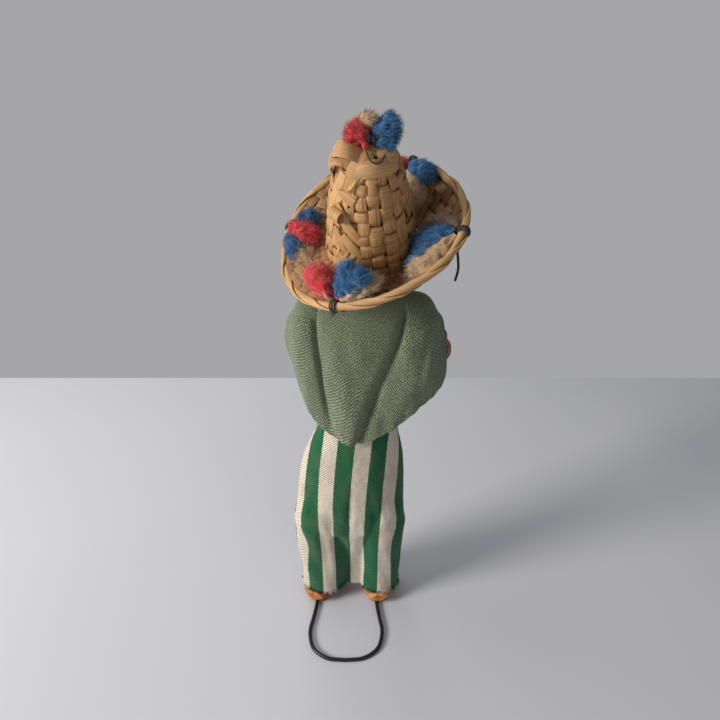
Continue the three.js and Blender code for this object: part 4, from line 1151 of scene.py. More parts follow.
def wool_lock(name, path, widths, dye, seed, length=3.0):
    """A combed lock of wool: a soft core along a path, and loose fibres all over it."""
    rows, sides = 26, 20
    way = along_path(path, rows)
    share = np.linspace(0, 1, rows)
    radius = np.interp(share, np.linspace(0, 1, len(widths)), widths) / 2 + 0.6 * np.minimum(1, share * 4)
    radius = radius * np.sqrt(np.maximum(1 - np.clip((share - 0.72) / 0.28, 0, 1) ** 2, 0.01))
    lead = tangents(way)
    side = unit(np.cross(lead, [0.3, -0.2, 1.0]))
    lift = np.cross(side, lead)
    angle = full_turn(sides)[None, :, None]
    spokes = np.cos(angle) * side[:, None] + LOCK_FLATNESS * np.sin(angle) * lift[:, None]
    points = way[:, None] + radius[:, None, None] * spokes
    lumps = unit(spokes) * wobble(points, 2.6, seed, 2.2)[..., None]
    points += lumps * np.minimum(1, radius / 3)[:, None, None]
    shape = Shape()
    # The core's low tone gives it mostly the deep colour: painted shade between the fibres.
    shape.closed_form(points, grid_coords(np.linspace(0, 20, sides + 1), reach_along(way)), 0.3)
    lock = shape.piece(name, WOOLS[dye])
    with_comb(lock, unit(lead[:, None] + 0.5 * unit(spokes)))
    return plant(lock, LOCK_FIBRES, length, thickness=0.1, spread=0.62, seed=seed, covering=WOOLS[dye])


def tuft_frame(angle):
    """A brim tuft's root, and its directions in over the brim, along the rim and up."""
    edge = rim(angle)
    inward = unit(brim_line(angle, 0.45) - edge)
    along = unit(rim(angle + 1) - rim(angle - 1))
    lift = np.cross(inward, along)
    return edge, inward, along, lift * np.sign(np.dot(lift, RIM_AXES[2]))


# The tufts' places round the rim, in degrees
TUFTS = {"back": 238, "right": 330, "front": 47, "left": 148}

# Each lock: its dye and kind, its marks as ways in, along and up from the rim, and its widths
BRIM_LOCKS = {
    "back": [
        ("red", "lock", [(2, -2, 3.2), (9, -7, 6.5), (17, -10, 7), (24, -12, 5)], (2, 11, 14, 8)),
        ("blue", "lock", [(2, 2, 3.2), (8, 6, 7), (15, 8.5, 10), (22, 7.5, 10)], (2.4, 8, 10, 5)),
        ("cream", "lock", [(2, 3, 2.8), (8, 12, 4), (14, 19, 4.5), (18, 25, 4)], (2, 8, 9, 4)),
        ("blue", "fork", [(3, 3, 4.6), (7, 9, 7.5), (11, 15, 9.5), (14, 20, 9.5)], (2, 7, 9, 4)),
    ],
    "right": [
        ("blue", "lock", [(2, 0, 4), (9, 0, 7.5), (17, 1, 8), (24, 2, 6.5)], (2.2, 10, 13, 7)),
        ("cream", "lock", [(2, -2.5, 3), (9, -9, 4.5), (17, -15, 5), (24, -21, 4)], (2, 8, 11, 8)),
        ("brown", "lock", [(2, 2.5, 3), (9, 9, 4), (17, 14, 4.5), (25, 16, 3)], (2, 10, 14, 9)),
        ("blue", "fork", [(5, -1, 6.5), (12, -5, 7.5), (19, -11, 7), (23, -17, 5.5)], (2, 7, 8, 4)),
    ],
    "front": [
        ("red", "lock", [(1, 1.5, 3), (3, 5, 5.5), (5, 9, 6.5), (7, 13, 6)], (3, 8, 9, 5)),
        ("blue", "lock", [(1, -1, 3), (2.5, -5, 5.5), (4, -10, 6), (6, -15, 5)], (3, 9, 11, 6)),
        ("cream", "lock", [(3, -2, 3.4), (10, -4, 5), (18, -5, 4), (25, -5, 2)], (3, 12, 15, 10)),
    ],
    "left": [
        ("red", "lock", [(2, 1, 3.6), (8, 5, 7), (15, 9, 7), (21, 13, 5)], (2, 9, 12, 8)),
        ("cream", "lock", [(4, 2.6, 2.8), (12, 13, 3.4), (17, 20, 3.6), (21, 26, 3)], (2, 8, 12, 9)),
        ("blue", "lock", [(3, 3.6, 3.4), (7.5, 9, 5), (11, 16, 5.6), (15, 23, 5)], (3, 9, 11.5, 9)),
        ("blue", "wisp", [(3, -1, 3), (8, -2.5, 5), (13, -3, 6), (17, -1, 6.5)], (2, 6, 7, 4)),
    ],
}

# The same on the crown's tip, with marks across, ahead and up
CROWN_LOCKS = [
    ("red", "lock", [(-0.2, -1, 1.2), (-2.6, -2.5, 2.6), (-5.2, -2.5, 3.6), (-7.8, -1.5, 4.6)],
     (5, 10, 12, 10)),
    ("cream", "lock", [(-2.6, 1, 2.5), (-3.4, 1.5, 4.8), (-1, 1.5, 6.6), (4.4, 1, 7.8)], (5, 10, 11, 9)),
    ("blue", "lock", [(1.4, -0.5, 1.8), (4.8, -1, 4.6), (8.8, -1, 6), (13, 0, 6.4)], (5, 10, 12, 10)),
    ("blue", "fork", [(2, -2.2, 1.4), (5.2, -3.6, 1.8), (8.6, -4, 2.2), (11.6, -3.6, 3.2)], (4, 7, 8.5, 6)),
]

BRIM_REACH = 60


def brim_heights():
    """How high the brim's upper side stands over the rim's plane, in cells of one millimetre."""
    turn, share = np.meshgrid(np.arange(0, 360, 0.5), np.linspace(0, 1, 60))
    local = (brim(turn, share, 1.1)[0].reshape(-1, 3) - RIM_CENTRE) @ RIM_AXES.T
    heights = np.full((2 * BRIM_REACH, 2 * BRIM_REACH), -np.inf)
    cells = np.floor(local[:, :2]).astype(int) + BRIM_REACH
    np.maximum.at(heights, (cells[:, 0], cells[:, 1]), local[:, 2])
    return heights


def rest_on_brim(thing, heights):
    """Wool that would pass through the brim lies on it instead."""
    local = (read_places(thing.data) - ORIGIN - RIM_CENTRE) @ RIM_AXES.T
    cells = np.clip(np.floor(local[:, :2]).astype(int) + BRIM_REACH, 0, 2 * BRIM_REACH - 1)
    floor = heights[cells[:, 0], cells[:, 1]]
    low = (floor > -BRIM_REACH) & (local[:, 2] < floor)
    local[low, 2] = floor[low] + 0.08 * (local[low, 2] - floor[low])
    move_points(thing.data, metres(local @ RIM_AXES + RIM_CENTRE))


def brim_tufts():
    """Every lock of the four brim tufts, with the node that it may stand for and its dye."""
    made = []
    heights = brim_heights()
    for tuft, locks in BRIM_LOCKS.items():
        edge, inward, along, lift = tuft_frame(TUFTS[tuft])
        for number, (dye, kind, marks, widths) in enumerate(locks):
            name = f"{tuft}_tuft_{dye}_{kind}"
            path = [edge + inward * a + along * b + lift * c for a, b, c in marks]
            lock = wool_lock("wool_" + name, path, widths, dye, 11 * number + TUFTS[tuft])
            rest_on_brim(lock, heights)
            made.append((lock, name, dye))
    return made


def crown_tuft():
    """The locks on the crown's tip, given in the same way."""
    made = []
    tip = crown(0, CROWN_RISE)[0] + CROWN_AXES[2] * 1.4
    for number, (dye, kind, marks, widths) in enumerate(CROWN_LOCKS):
        name = f"crown_{dye}_{kind}"
        path = [tip + np.array(mark) for mark in marks]
        made.append((wool_lock("wool_" + name, path, widths, dye, 90 + number, 2.4), name, dye))
    return made


# Threads

PLY_TURN = 2.2


def twisted_thread(shape, path, radius):
    """Two plies of thread turned round each other along a path."""
    lead = tangents(path)
    side = unit(np.cross(lead, [0.31, 0.2, 0.93]))
    lift = np.cross(side, lead)
    turn = 2 * math.pi * reach_along(path) / PLY_TURN
    for start in (0, math.pi):
        swing = np.cos(turn + start)[:, None] * side + np.sin(turn + start)[:, None] * lift
        shape.tube(path + swing * radius * 0.5, radius * 0.62, 8)


def rim_loop(angle, off, tilt=0.0):
    """A turn of thread round the binding at one angle."""
    turn = np.linspace(0, 360, 48, endpoint=False)
    place = angle + tilt * np.sin(np.radians(turn))
    return rim_section(place, turn, np.full(48, BINDING_RADIUS + off))


# Short ends that hang from a tie, as ways along the rim, up and in
TIE_ENDS = [
    [(-2, -1.4, -0.4), (-4.8, -2.6, -0.7)],
    [(-2.6, -2.8, -0.4), (-5.6, -4.8, -0.2)],
    [(2.4, -0.6, -0.3), (5.4, 0.2, -0.8)],
]


def tie_piece(angle, with_ends):
    """Three turns of thread round the binding, a knot inside and, on one tuft, its short ends."""
    shape = Shape()
    for k, shift in enumerate((-1.1, 0.0, 1.0)):
        shape.tube(rim_loop(angle + shift * 0.9, 0.12 * (k % 2), 0.7 * (k - 1)), 0.42, 8, 0.5, True)
    edge, inward, along, lift = tuft_frame(angle)
    knot = edge + inward * 2.6 + lift * 2.6
    swing = full_turn(24)[:, None]
    for first, second in ((inward, along), (along, lift), (lift, inward)):
        ring = knot + 0.9 * (np.cos(swing) * first + np.sin(swing) * second)
        shape.tube(ring, 0.45, 7, 0.4, True)
    if with_ends:
        below = rim_section(angle, 262.0, np.array(BINDING_RADIUS + 0.1))
        for ways in TIE_ENDS:
            marks = [below] + [below + along * a + UP * b + inward * c for a, b, c in ways]
            shape.tube(along_path(marks, 12), np.linspace(0.4, 0.28, 12), 7)
    return shape


LOOSE_THREAD_ANGLE = 318


def loose_thread(shape, angle):
    """The right tuft's end that was never trimmed, two plies that hang from the brim."""
    top = rim_section(angle, 275.0, np.array(BINDING_RADIUS - 0.4))
    marks = [top, top + [0.6, -0.4, -4], top + [0.9, -0.9, -8.5], top + [-0.2, -1.2, -14]]
    twisted_thread(shape, along_path(marks, 60), 0.62)
    return shape


def bead(shape, centre, radius, tone_value=0.5):
    """A small tight knot of thread."""
    rows, sides = 8, 12
    points = np.array(centre) + radius * globe(rows, sides, 0.12)
    coords = grid_coords(np.linspace(0, 6 * radius, sides + 1), np.linspace(0, 3 * radius, rows))
    shape.closed_form(points, coords, tone_value)


# Two threads laid on the crown: marks from its tip, steps and radius
CROWN_THREADS = [
    ([(258, 2.6, 3.4), (262, 5.5, 3.8), (272, 9.0, 4.5), (286, 10.5, 4.5), (312, 9, 3.4)], 60, 0.34),
    ([(200, 1.2, 2.6), (225, 2.4, 3.0), (262, 3.6, 3.0), (300, 3, 2.8)], 30, 0.55),
]


def crown_tie():
    """Black thread round the crown tuft's root, its ends on the crown and the knots behind the tuft."""
    shape = Shape()
    tip = crown(0, CROWN_RISE)[0]
    swing = full_turn(32)
    for k, (radius, height) in enumerate(((2.6, 0.95), (2.3, 1.6), (2.5, 2.3))):
        lift = height + 0.3 * np.sin(swing + k)
        ring = tip + polar(CROWN_AXES, swing) * radius + lift[:, None] * CROWN_AXES[2]
        shape.tube(ring, 0.5, 8, 0.5, True)
    for marks, steps, radius in CROWN_THREADS:
        way = along_path(from_tip(marks), steps)
        shape.tube(crown(way[:, 0], way[:, 1], way[:, 2])[0], radius, 7)
    for knot in ((-1.8, -8.2, 3.2), (0.4, -8.8, 3.0), (2.4, -8.6, 2.6), (4.4, -8.0, 3.0)):
        bead(shape, tip + knot, 1.25, 0.3)
    return shape


def red_knots():
    """Small red thread knots at the back tuft's root and under the crown tuft."""
    shape = Shape()
    edge, inward, along, lift = tuft_frame(TUFTS["back"])
    for a, b, c, size in ((3.2, 1.4, 3.4, 0.95), (2.0, 2.6, 3.8, 0.85), (4.4, 2.2, 4.2, 0.7)):
        bead(shape, edge + inward * a + along * b + lift * c, size)
    bead(shape, crown(0, CROWN_RISE)[0] + [-1.2, -8.6, 0.5], 1.6, 0.6)
    return shape


def husk_bits():
    """A dry shred of palm that stands on the back tuft's root."""
    shape = Shape()
    edge, inward, along, lift = tuft_frame(TUFTS["back"])
    ways = [(-2, 2.6, 2), (-3.2, 5, 1), (-3.6, 8.2, 1.6)]
    way = along_path([edge + along * a + lift * b + inward * c for a, b, c in ways], 14)
    shape.ribbon(way, np.broadcast_to(-inward, way.shape), np.linspace(2.6, 0.6, 14), 0.35, 0.3, 0.9)
    return shape


# Standing body: wire, legs and shoes

WIRE_RADIUS = 1.2
WIRE_X = 21.4
HEEL_BEND = 8
LEG_X = 20.0


def stand_path():
    """The stand wire's right half from the hip to the back of its loop, then its mirror."""
    bend_top = WIRE_RADIUS + HEEL_BEND
    bend = [
        (WIRE_X, -5 - HEEL_BEND * (1 - math.cos(turn)), bend_top - HEEL_BEND * math.sin(turn))
        for turn in np.radians(np.arange(0, 91, 15))
    ]
    loop = [(WIRE_X, -13), (21.6, -16), (22.95, -26), (24.5, -37), (21.1, -49.3), (11.8, -56.0), (0, -57.4)]
    floor = along_path([(x, y, WIRE_RADIUS) for x, y in loop], 40)
    leg = [(WIRE_X, -5, height) for height in (92, 60, 30)]
    half = np.concatenate([leg, bend, floor[1:]])
    mirrored = half[-2::-1] * [-1, 1, 1]
    return np.concatenate([half, mirrored]) + [-2.5, 0, 0]


def soft_copy(node, name, voxel, rounds, covering, swell=0.0):
    """A solid of the frame made again as a soft form, rounded off where it was cut flat.

    Swell is how far its skin stands out from the solid's, and is negative for stuffing in a cover.
    """
    mesh = frame["nodes"][node].data.copy()
    mesh.name = name
    mesh.materials.clear()
    outward(mesh, True)
    thing = link(name, mesh)
    thing.modifiers.new("skin", "REMESH").voxel_size = voxel * MM
    smoother = thing.modifiers.new("round", "SMOOTH")
    smoother.factor = 0.5
    smoother.iterations = rounds
    settled(thing)
    mesh = thing.data
    places = read_places(mesh)
    normals = np.array([vertex.normal for vertex in mesh.vertices])
    bumps = wobble(places, 4.0, len(name), 0.35) + swell
    move_points(mesh, (places + normals * bumps[:, None]) * MM)
    box_coords(mesh)
    even_tone(mesh)
    mesh.materials.append(covering)
    mesh.shade_smooth()
    return thing


def box_coords(mesh):
    """Surface coordinates in millimetres, seen from the side that each face turns to."""
    layer = mesh.uv_layers.new(name="surface")
    places = np.array([vertex.co for vertex in mesh.vertices]) / MM
    for face in mesh.polygons:
        sideways = 1 if abs(face.normal.x) > abs(face.normal.y) else 0
        for corner, vertex in zip(face.loop_indices, face.vertices):
            layer.data[corner].uv = (places[vertex][sideways], places[vertex][2])


def shoe_upper(side):
    """A soft moccasin: a heel cup and a vamp, gathered and stitched where they meet."""
    rows, columns = 110, 72
    share = np.linspace(0.0, 1.0, rows)
    heel_end, length = -15, 44
    along = heel_end + length * (1 - np.cos(np.pi * share)) / 2
    full = np.maximum(np.sin(np.pi * share), 0.12) ** 0.55
    angle = full_turn(columns)
    floor, top = 2.0, 11.4
    half = 12.0 * full
    rise = (top - floor) / 2 * (0.35 + 0.65 * full)
    heel = np.exp(-(((along - heel_end) / 9) ** 2))
    across = half[:, None] * np.cos(angle) * (1 - 0.1 * heel[:, None] * np.maximum(0, -np.sin(angle)))
    lift = rise[:, None] * np.sin(angle)
    lift = np.where(lift < 0, np.sign(lift) * np.abs(lift) ** 0.85 * rise[:, None] ** 0.15, lift)
    seam = np.exp(-(((along[:, None] - 1.5 - 3 * np.sin(angle)) / 0.7) ** 2))
    back = np.exp(-((across / 0.8) ** 2)) * (along[:, None] < -9)
    ridge = np.exp(-((np.abs(np.sin(angle) - 0.35) / 0.12) ** 2))[None] * (along[:, None] > 8)
    pucker = 0.3 * np.sin(along[:, None] * 4.2) * ridge
    ahead = np.broadcast_to(along[:, None], across.shape)
    points = np.stack([across, ahead, (top + floor) / 2 + lift], axis=-1)
    normals = unit(np.stack([across, 0 * across, lift * 1.3], axis=-1))
    depth = pucker - 0.55 * seam - 0.25 * back + wobble(points, 5.0, 3 + side, 0.45)
    points = points + normals * depth[..., None]
    rubbed = np.exp(-(((along[:, None] + 14.2) / 1.6) ** 2))
    rubbed = rubbed + 0.7 * np.exp(-(((np.sin(angle) + 0.75) / 0.14) ** 2))[None]
    darkened = np.clip(seam + 0.4 * ridge + 0.5 * back, 0, 1)
    tones = 0.5 - 0.45 * darkened + 0.42 * np.clip(rubbed, 0, 1)
    shape = Shape()
    coords = grid_coords(np.linspace(0, 60, columns + 1), along)
    shape.closed_form(placed_foot(points, side), coords, tones.ravel())
    return shape


LEFT_FOOT_TURN = -28


def placed_foot(points, side):
    """Points of a shoe about its own middle, as points of the doll. The left foot is turned in."""
    turn = math.radians(LEFT_FOOT_TURN if side < 0 else 0)
    across = points[..., 0] * math.cos(turn) - points[..., 1] * math.sin(turn)
    ahead = points[..., 0] * math.sin(turn) + points[..., 1] * math.cos(turn)
    return np.stack([across + side * LEG_X, ahead, points[..., 2]], axis=-1)


def shoe_stitches(side):
    """Waxed thread in short stitches along the shoe's side seams and round its sole."""
    shape = Shape()
    for turn in np.radians(np.concatenate([np.arange(-30, 75, 12), np.arange(105, 211, 12)])):
        x = 12.1 * math.cos(turn)
        y = 1.5 + 3 * math.sin(turn)
        z = 6.7 + 4.9 * math.sin(turn)
        ends = placed_foot(np.array([(x, y - 1.3, z), (1.02 * x, y, z + 0.15), (x, y + 1.3, z)]), side)
        shape.tube(ends, 0.3, 6, 0.9)
    return shape


# The sole's right half, across and ahead, and its rings: height, size and tone
SOLE_HALF = [(0, -13), (6.2, -10.5), (7.4, -3), (7.6, 6), (8.9, 15), (7.0, 23.5), (0, 27)]
SOLE_RINGS = [
    (0, 0.9, 0.5), (0, 0.97, 0.7), (0.35, 1, 0.95), (1.25, 1, 0.9), (1.6, 0.96, 0.5), (1.6, 0.6, 0.4)
]


def shoe_sole(side):
    """A cut leather sole, a little rounded at its edge."""
    steps = 120
    corners = SOLE_HALF + [(-x, y) for x, y in SOLE_HALF[-2:0:-1]]
    outline = along_path([(x, y, 0) for x, y in corners], steps, True)
    middle = outline.mean(axis=0)
    rings = [(outline - middle) * [size, size, 1] + middle + [0, 0, height] for height, size, _ in SOLE_RINGS]
    tones = np.repeat([value for _, _, value in SOLE_RINGS], steps)
    shape = Shape()
    coords = grid_coords(np.linspace(0, 110, steps + 1), np.linspace(0, 12, len(SOLE_RINGS)))
    shape.closed_form(placed_foot(np.array(rings), side), coords, tones)
    return shape


# Trousers

# Upright forms from their foot to their top: full width, full depth and height
SEAT_KNOTS = [(68.7, 33.2, 66), (71.6, 39, 92), (65.4, 37, 121), (47, 30, 152), (47, 30, 157)]
LEG_KNOTS = [(31.6, 27, 7), (31.6, 27, 12), (34.4, 30, 42), (36.8, 34, 68), (31.6, 31, 92)]
FOLD_FOOT = [(18, 13, 7), (18, 13, 12), (19, 15, 28), (22, 21, 44)]
FOLD_KNOTS = [*FOLD_FOOT, (28, 30, 56), (38, 34.6, 66), (44, 37, 78)]
CHEST_KNOTS = [(47, 30, 152), (45, 29, 196), (43, 26, 215), (33, 21, 225), (15, 15, 229)]
# Each leg's middle, and its width as a share of the knots'
TROUSER_LEGS = [(-18.6, 1.04), (20.8, 0.93)]
HEM = 12.0
WAIST = 152.0
TROUSER_WALL = 0.5
STRIPE_START = 15.1


def lean(height):
    """How far the body leans to its right at a height."""
    return BODY_LEAN * np.clip((np.asarray(height, float) - 60) / 115, 0, 1) ** 2


def ellipse_loft(knots, middle, rows, sides, inset=0.0):
    """Rings of an upright form through its knots, about a middle that may lean."""
    knots = curve(np.array(knots, float), np.linspace(0, 1, rows))
    angle = full_turn(sides)
    x = middle(knots[:, 2])[:, None] + (knots[:, :1] / 2 - inset) * np.cos(angle)
    y = (knots[:, 1:2] / 2 - inset) * np.sin(angle)
    return np.stack([x, y, np.broadcast_to(knots[:, 2:], x.shape)], axis=-1)


def knot_sizes(knots, height):
    """Half the width and half the depth of an upright form at a height."""
    fine = curve(np.array(knots, float), np.linspace(0, 1, 160))
    return [np.interp(height, fine[:, 2], fine[:, k]) / 2 for k in (0, 1)]


def ellipse_arc(x, y, half_width, half_depth):
    """The way round an ellipse from the middle of its back to a point near it."""
    angle = np.arctan2(x / half_width, -y / half_depth)
    steps = (np.arange(12) + 0.5) / 12
    part = angle[:, None] * steps
    across, ahead = half_width[:, None] * np.cos(part), half_depth[:, None] * np.sin(part)
    return np.sqrt(across**2 + ahead**2).mean(axis=1) * angle


def stripe_place(points):
    """How far round each point lies from the middle of the back, so that the stripes run down both legs."""
    x, y, z = points.T
    wide, deep = knot_sizes(SEAT_KNOTS, np.maximum(z, SEAT_KNOTS[0][2]))
    leg_wide, leg_deep = knot_sizes(LEG_KNOTS, np.minimum(z, LEG_KNOTS[-1][2]))
    share = smooth(z, 46, 96)
    wide = (leg_wide + LEG_X) * (1 - share) + wide * share
    deep = leg_deep * (1 - share) + deep * share
    across = np.clip((x - lean(z)) / wide, -1, 1)
    flank = smooth(np.abs(across), 0.72, 0.95)
    facing = -np.sqrt(1 - across**2) * (1 - flank) - np.abs(y / deep) * flank
    way = ellipse_arc(across * wide, facing * deep, wide, deep)
    stretch = 1.043 * (1 - share) + 0.95 * share
    return way * stretch + STRIPE_START + 0.5 * share


def trouser_folds(points, normals):
    """Wrinkles: a seam down the seat, pulls at the crotch and soft folds over the legs."""
    x, y, z = points.T
    seam = -1.3 * np.exp(-(((x - lean(z)) / 2.2) ** 2)) * (y < 0)
    seam = seam * smooth(z, 66, 84) * (1 - smooth(z, 92, 116))
    bent = np.stack([x * 0.8, y * 0.8, z * 0.32 + 0.5 * x], axis=-1)
    folds = wobble(bent, 6.5, 3, 1.5) * (0.5 + 0.5 * (1 - smooth(z, 70, 110)))
    pulls = 0.5 * np.sin((z - 0.7 * np.abs(x - 2)) / 3.1) * np.exp(-(((z - 74) / 12) ** 2)) * (y < 0)
    fine = wobble(points, 2.2, 9, 0.25)
    return points + normals * (seam + folds * 0.8 + pulls + fine - 0.5)[:, None]


def trousers():
    """The seat, both legs and the cloth between them made one, cut off level and given a wall."""
    shape = Shape()
    parts = [ellipse_loft(SEAT_KNOTS, lean, 60, 96)]
    for middle, size in TROUSER_LEGS:
        knots = [(width * size, depth, height) for width, depth, height in LEG_KNOTS]
        parts.append(ellipse_loft(knots, lambda z, middle=middle: np.full(len(z), middle), 60, 72))
    parts.append(ellipse_loft(FOLD_KNOTS, lambda z: np.full(len(z), 3.6), 60, 48))
    for rings in parts:
        rows, columns = rings.shape[:2]
        shape.closed_form(rings, np.zeros((rows, columns + 1, 2)))
    thing = shape.piece("trousers_cloth", STRIPED_TWILL)
    thing.modifiers.new("one", "REMESH").voxel_size = 1.0 * MM
    smoother = thing.modifiers.new("ease", "SMOOTH")
    smoother.factor = 0.5
    smoother.iterations = 4
    settled(thing)
    work = bmesh.new()
    work.from_mesh(thing.data)
    for height, up in ((HEM, -1), (WAIST, 1)):
        cut = {"plane_co": (0, 0, height * MM), "plane_no": (0, 0, up), "clear_outer": True, "dist": 1e-7}
        bmesh.ops.bisect_plane(work, geom=[*work.verts, *work.edges, *work.faces], **cut)
    work.to_mesh(thing.data)
    work.free()
    mesh = thing.data
    places = np.array([vertex.co for vertex in mesh.vertices]) / MM - ORIGIN
    normals = np.array([vertex.normal for vertex in mesh.vertices])
    stripes = stripe_place(places)
    places = trouser_folds(places, normals)
    move_points(mesh, metres(places))
    layer = mesh.uv_layers.get("surface") or mesh.uv_layers.new(name="surface")
    flat = np.array([index for face in mesh.polygons for index in face.vertices])
    coords = np.stack([stripes[flat], places[flat][:, 2]], axis=-1).astype(np.float32)
    layer.data.foreach_set("uv", coords.ravel())
    solid = thing.modifiers.new("wall", "SOLIDIFY")
    solid.thickness = TROUSER_WALL * MM
    solid.thickness_clamp = 0.9
    solid.offset = -1.0
    settled(thing)
    mesh = thing.data
    even_tone(mesh)
    shade(mesh, 50)
    mesh.materials.clear()
    mesh.materials.append(STRIPED_TWILL)
    return thing


def fringe(name, loop, roots, seed):
    """Frayed thread ends that hang from a cut edge, rooted on a fine cord along it.

    Roots are the cloth's own surface coordinates there, so that each end has its stripe's colour.
    """
    shape = Shape()
    sides = 6
    shape.tube(loop, 0.3, sides, 0.5, True)
    thing = shape.piece(name, STRIPED_FRINGE)
    total = len(thing.data.vertices)
    with_comb(thing, np.broadcast_to(-UP, (total, 3)))
    layer = thing.data.attributes.new("root", "FLOAT_VECTOR", "POINT")
    marks = np.stack([np.repeat(roots, sides), np.repeat(loop[:, 2], sides), np.zeros(total)], axis=-1)
    layer.data.foreach_set("vector", marks.astype(np.float32).ravel())
    size = {"count": 900, "length": 3.6, "thickness": 0.24, "spread": 0.34}
    return plant(thing, seed=seed, covering=STRIPED_FRINGE, **size)


def trouser_fringes():
    """The frayed hem of each leg, a little smaller than the leg itself."""
    made = []
    steps = 150
    angle = full_turn(steps)
    for side, name, (middle, size) in zip((-1, 1), ("left", "right"), TROUSER_LEGS):
        x = middle + 15.4 * size * np.cos(angle)
        loop = np.stack([x, 12.9 * np.sin(angle), np.full(steps, HEM + 0.5)], axis=-1)
        made.append(fringe(f"trousers_{name}_fringe", loop, stripe_place(loop), 40 + side))
    return made


# Shirt, sleeves and poncho

# The shoulders, and each elbow and wrist from its shoulder
SHOULDER = {"left": np.array([BODY_LEAN - 28, 0, 219.0]), "right": np.array([BODY_LEAN + 28, 0, 219.0])}
ELBOW = {"left": np.array([-10.7, 18, -25.0]), "right": np.array([15.3, 4, -29.0])}
WRIST = {"left": np.array([3.5, 42, -33.0]), "right": np.array([2.0, 27, -36.0])}
ELBOW_BEND = 7.0


def arm_marks(name):
    """Shoulder, the two ends of the elbow's bend, and the cuff."""
    shoulder = SHOULDER[name]
    elbow, cuff = shoulder + ELBOW[name], shoulder + WRIST[name]
    entry = elbow + ELBOW_BEND * unit(shoulder - elbow)
    leave = elbow + ELBOW_BEND * unit(cuff - elbow)
    return [shoulder, entry, leave, cuff]


def shell(rings, wall, name, covering, coords):
    """A tube of cloth with a wall, open at both ends, from its outer rings."""
    middle = rings.mean(axis=1, keepdims=True)
    inner = rings - unit(rings - middle) * wall
    shape = Shape()
    shape.walled(rings, inner, coords, True)
    return shape.piece(name, covering)


def sleeve(name):
    """A shirt sleeve from inside the shoulder to the cuff, with creases in the elbow's crook."""
    rows, sides = 90, 56
    marks = arm_marks(name)
    start = marks[0] - 8.4 * unit(marks[1] - marks[0])
    way = along_path([start, *marks], rows)
    share = np.linspace(0, 1, rows)
    radius = np.interp(share, [0, 0.03, 0.1, 0.2, 0.55, 0.8, 1], [2.2, 5.2, 8.6, 9.6, 10.2, 9.0, 7.6])
    lead = tangents(way)
    side = unit(np.cross(lead, [0, 0, 1.0] if name == "left" else [0.2, 0, 1.0]))
    lift = np.cross(side, lead)
    angle = full_turn(sides)
    spokes = np.cos(angle)[None, :, None] * side[:, None] + np.sin(angle)[None, :, None] * lift[:, None]
    crook = np.exp(-(((share - 0.56) / 0.16) ** 2))[:, None]
    folds = 0.4 * np.sin(share[:, None] * 46 + 1.4 * np.cos(angle)) * (0.25 + crook)
    places = way[:, None] + spokes * radius[:, None, None]
    size = radius[:, None] + folds - 0.1 + wobble(places, 5.0, 21, 0.5)
    rings = way[:, None] + spokes * size[..., None]
    coords = grid_coords(np.linspace(0, 60, sides + 1), reach_along(way))
    return shell(rings, 0.8, f"shirt_{name}_sleeve", SHIRT_CLOTH, coords)


COLLAR = 227


def shirt_body():
    """The shirt over the chest, from the trousers' waist to its collar."""
    sides = 110
    rings = ellipse_loft(CHEST_KNOTS, lean, 90, sides, 0.1)
    rings = rings[(rings[:, 0, 2] > WAIST + 0.4) & (rings[:, 0, 2] < COLLAR)]
    out = unit((rings - rings.mean(axis=1, keepdims=True)) * [1, 1, 0])
    folds = wobble(rings * [0.5, 0.5, 0.2], 4.0, 5, 1.4)
    rings = rings + out * (folds - 0.25)[..., None]
    coords = grid_coords(np.linspace(0, 124, sides + 1), rings[:, 0, 2])
    return shell(rings, 0.7, "shirt_body_cloth", SHIRT_CLOTH, coords)


def ellipse_line(x, radius_x, radius_y, side_height, end_height):
    """Sixteen points round a line of the poncho, with its heights at the arms and in the middle."""
    angle = np.radians(22.5 * np.arange(16))
    across = np.cos(angle)
    height = end_height + (side_height - end_height) * across**2
    return np.stack([x + radius_x * across, radius_y * np.sin(angle), height], axis=-1)


# Closed lines round the poncho, from its neck to its hem. Each starts at the right arm and goes
# round by the front, so the middle of the back lies at three quarters of the way.
BACK_MIDDLE = 0.75
PONCHO_LINES = [
    ellipse_line(SPINE_X, 12, 12, 232, 232),
    ellipse_line(BODY_LEAN, 30, 13, 229.8, 227),
    ellipse_line(BODY_LEAN, 41, 17, 219, 214),
    [(53.5, 0.5, 215), (49.5, 8.5, 211.5), (34, 15.5, 206), (21, 18, 198), (9.7, 18.5, 190), (-3, 18.5, 198),
     (-12, 19, 211), (-24, 21, 211), (-36.5, 11, 206), (-33, 1, 196), (-25, -9, 190), (-12, -15.5, 187),
     (6, -17.5, 184), (25, -17, 186), (40.5, -14, 188), (51.8, -8.6, 195)],
    [(53.6, -1.2, 211.5), (51, 11, 206), (35, 18, 193), (21, 20, 168), (9.7, 20.5, 152), (-2, 20, 168),
     (-10, 23, 202), (-25, 29.5, 204), (-38.5, 20, 196), (-33, 8, 180), (-26, -2, 164), (-16, -10.5, 149.5),
     (4.0, -18.4, 142.5), (21.8, -16.5, 150), (41.5, -11, 165), (55.3, -8.6, 180.5)],
]
# Creases down the back, as ways round at the neck and at the hem. Each fold has a depth and width too.
CREASES = [(0.48, 0.56), (0.56, 0.714), (0.905, 0.757), (0.99, 0.96)]
BACK_FOLDS = [(*CREASES[1], 1.8, 0.009), (*CREASES[2], 2.6, 0.01), (0.99, 0.84, 0.7, 0.014)]
PONCHO_WALL = 0.8
SLEEVE_RADIUS = 10
CLOTH_GAP = 1.4
SEAT_GAP = 1.3


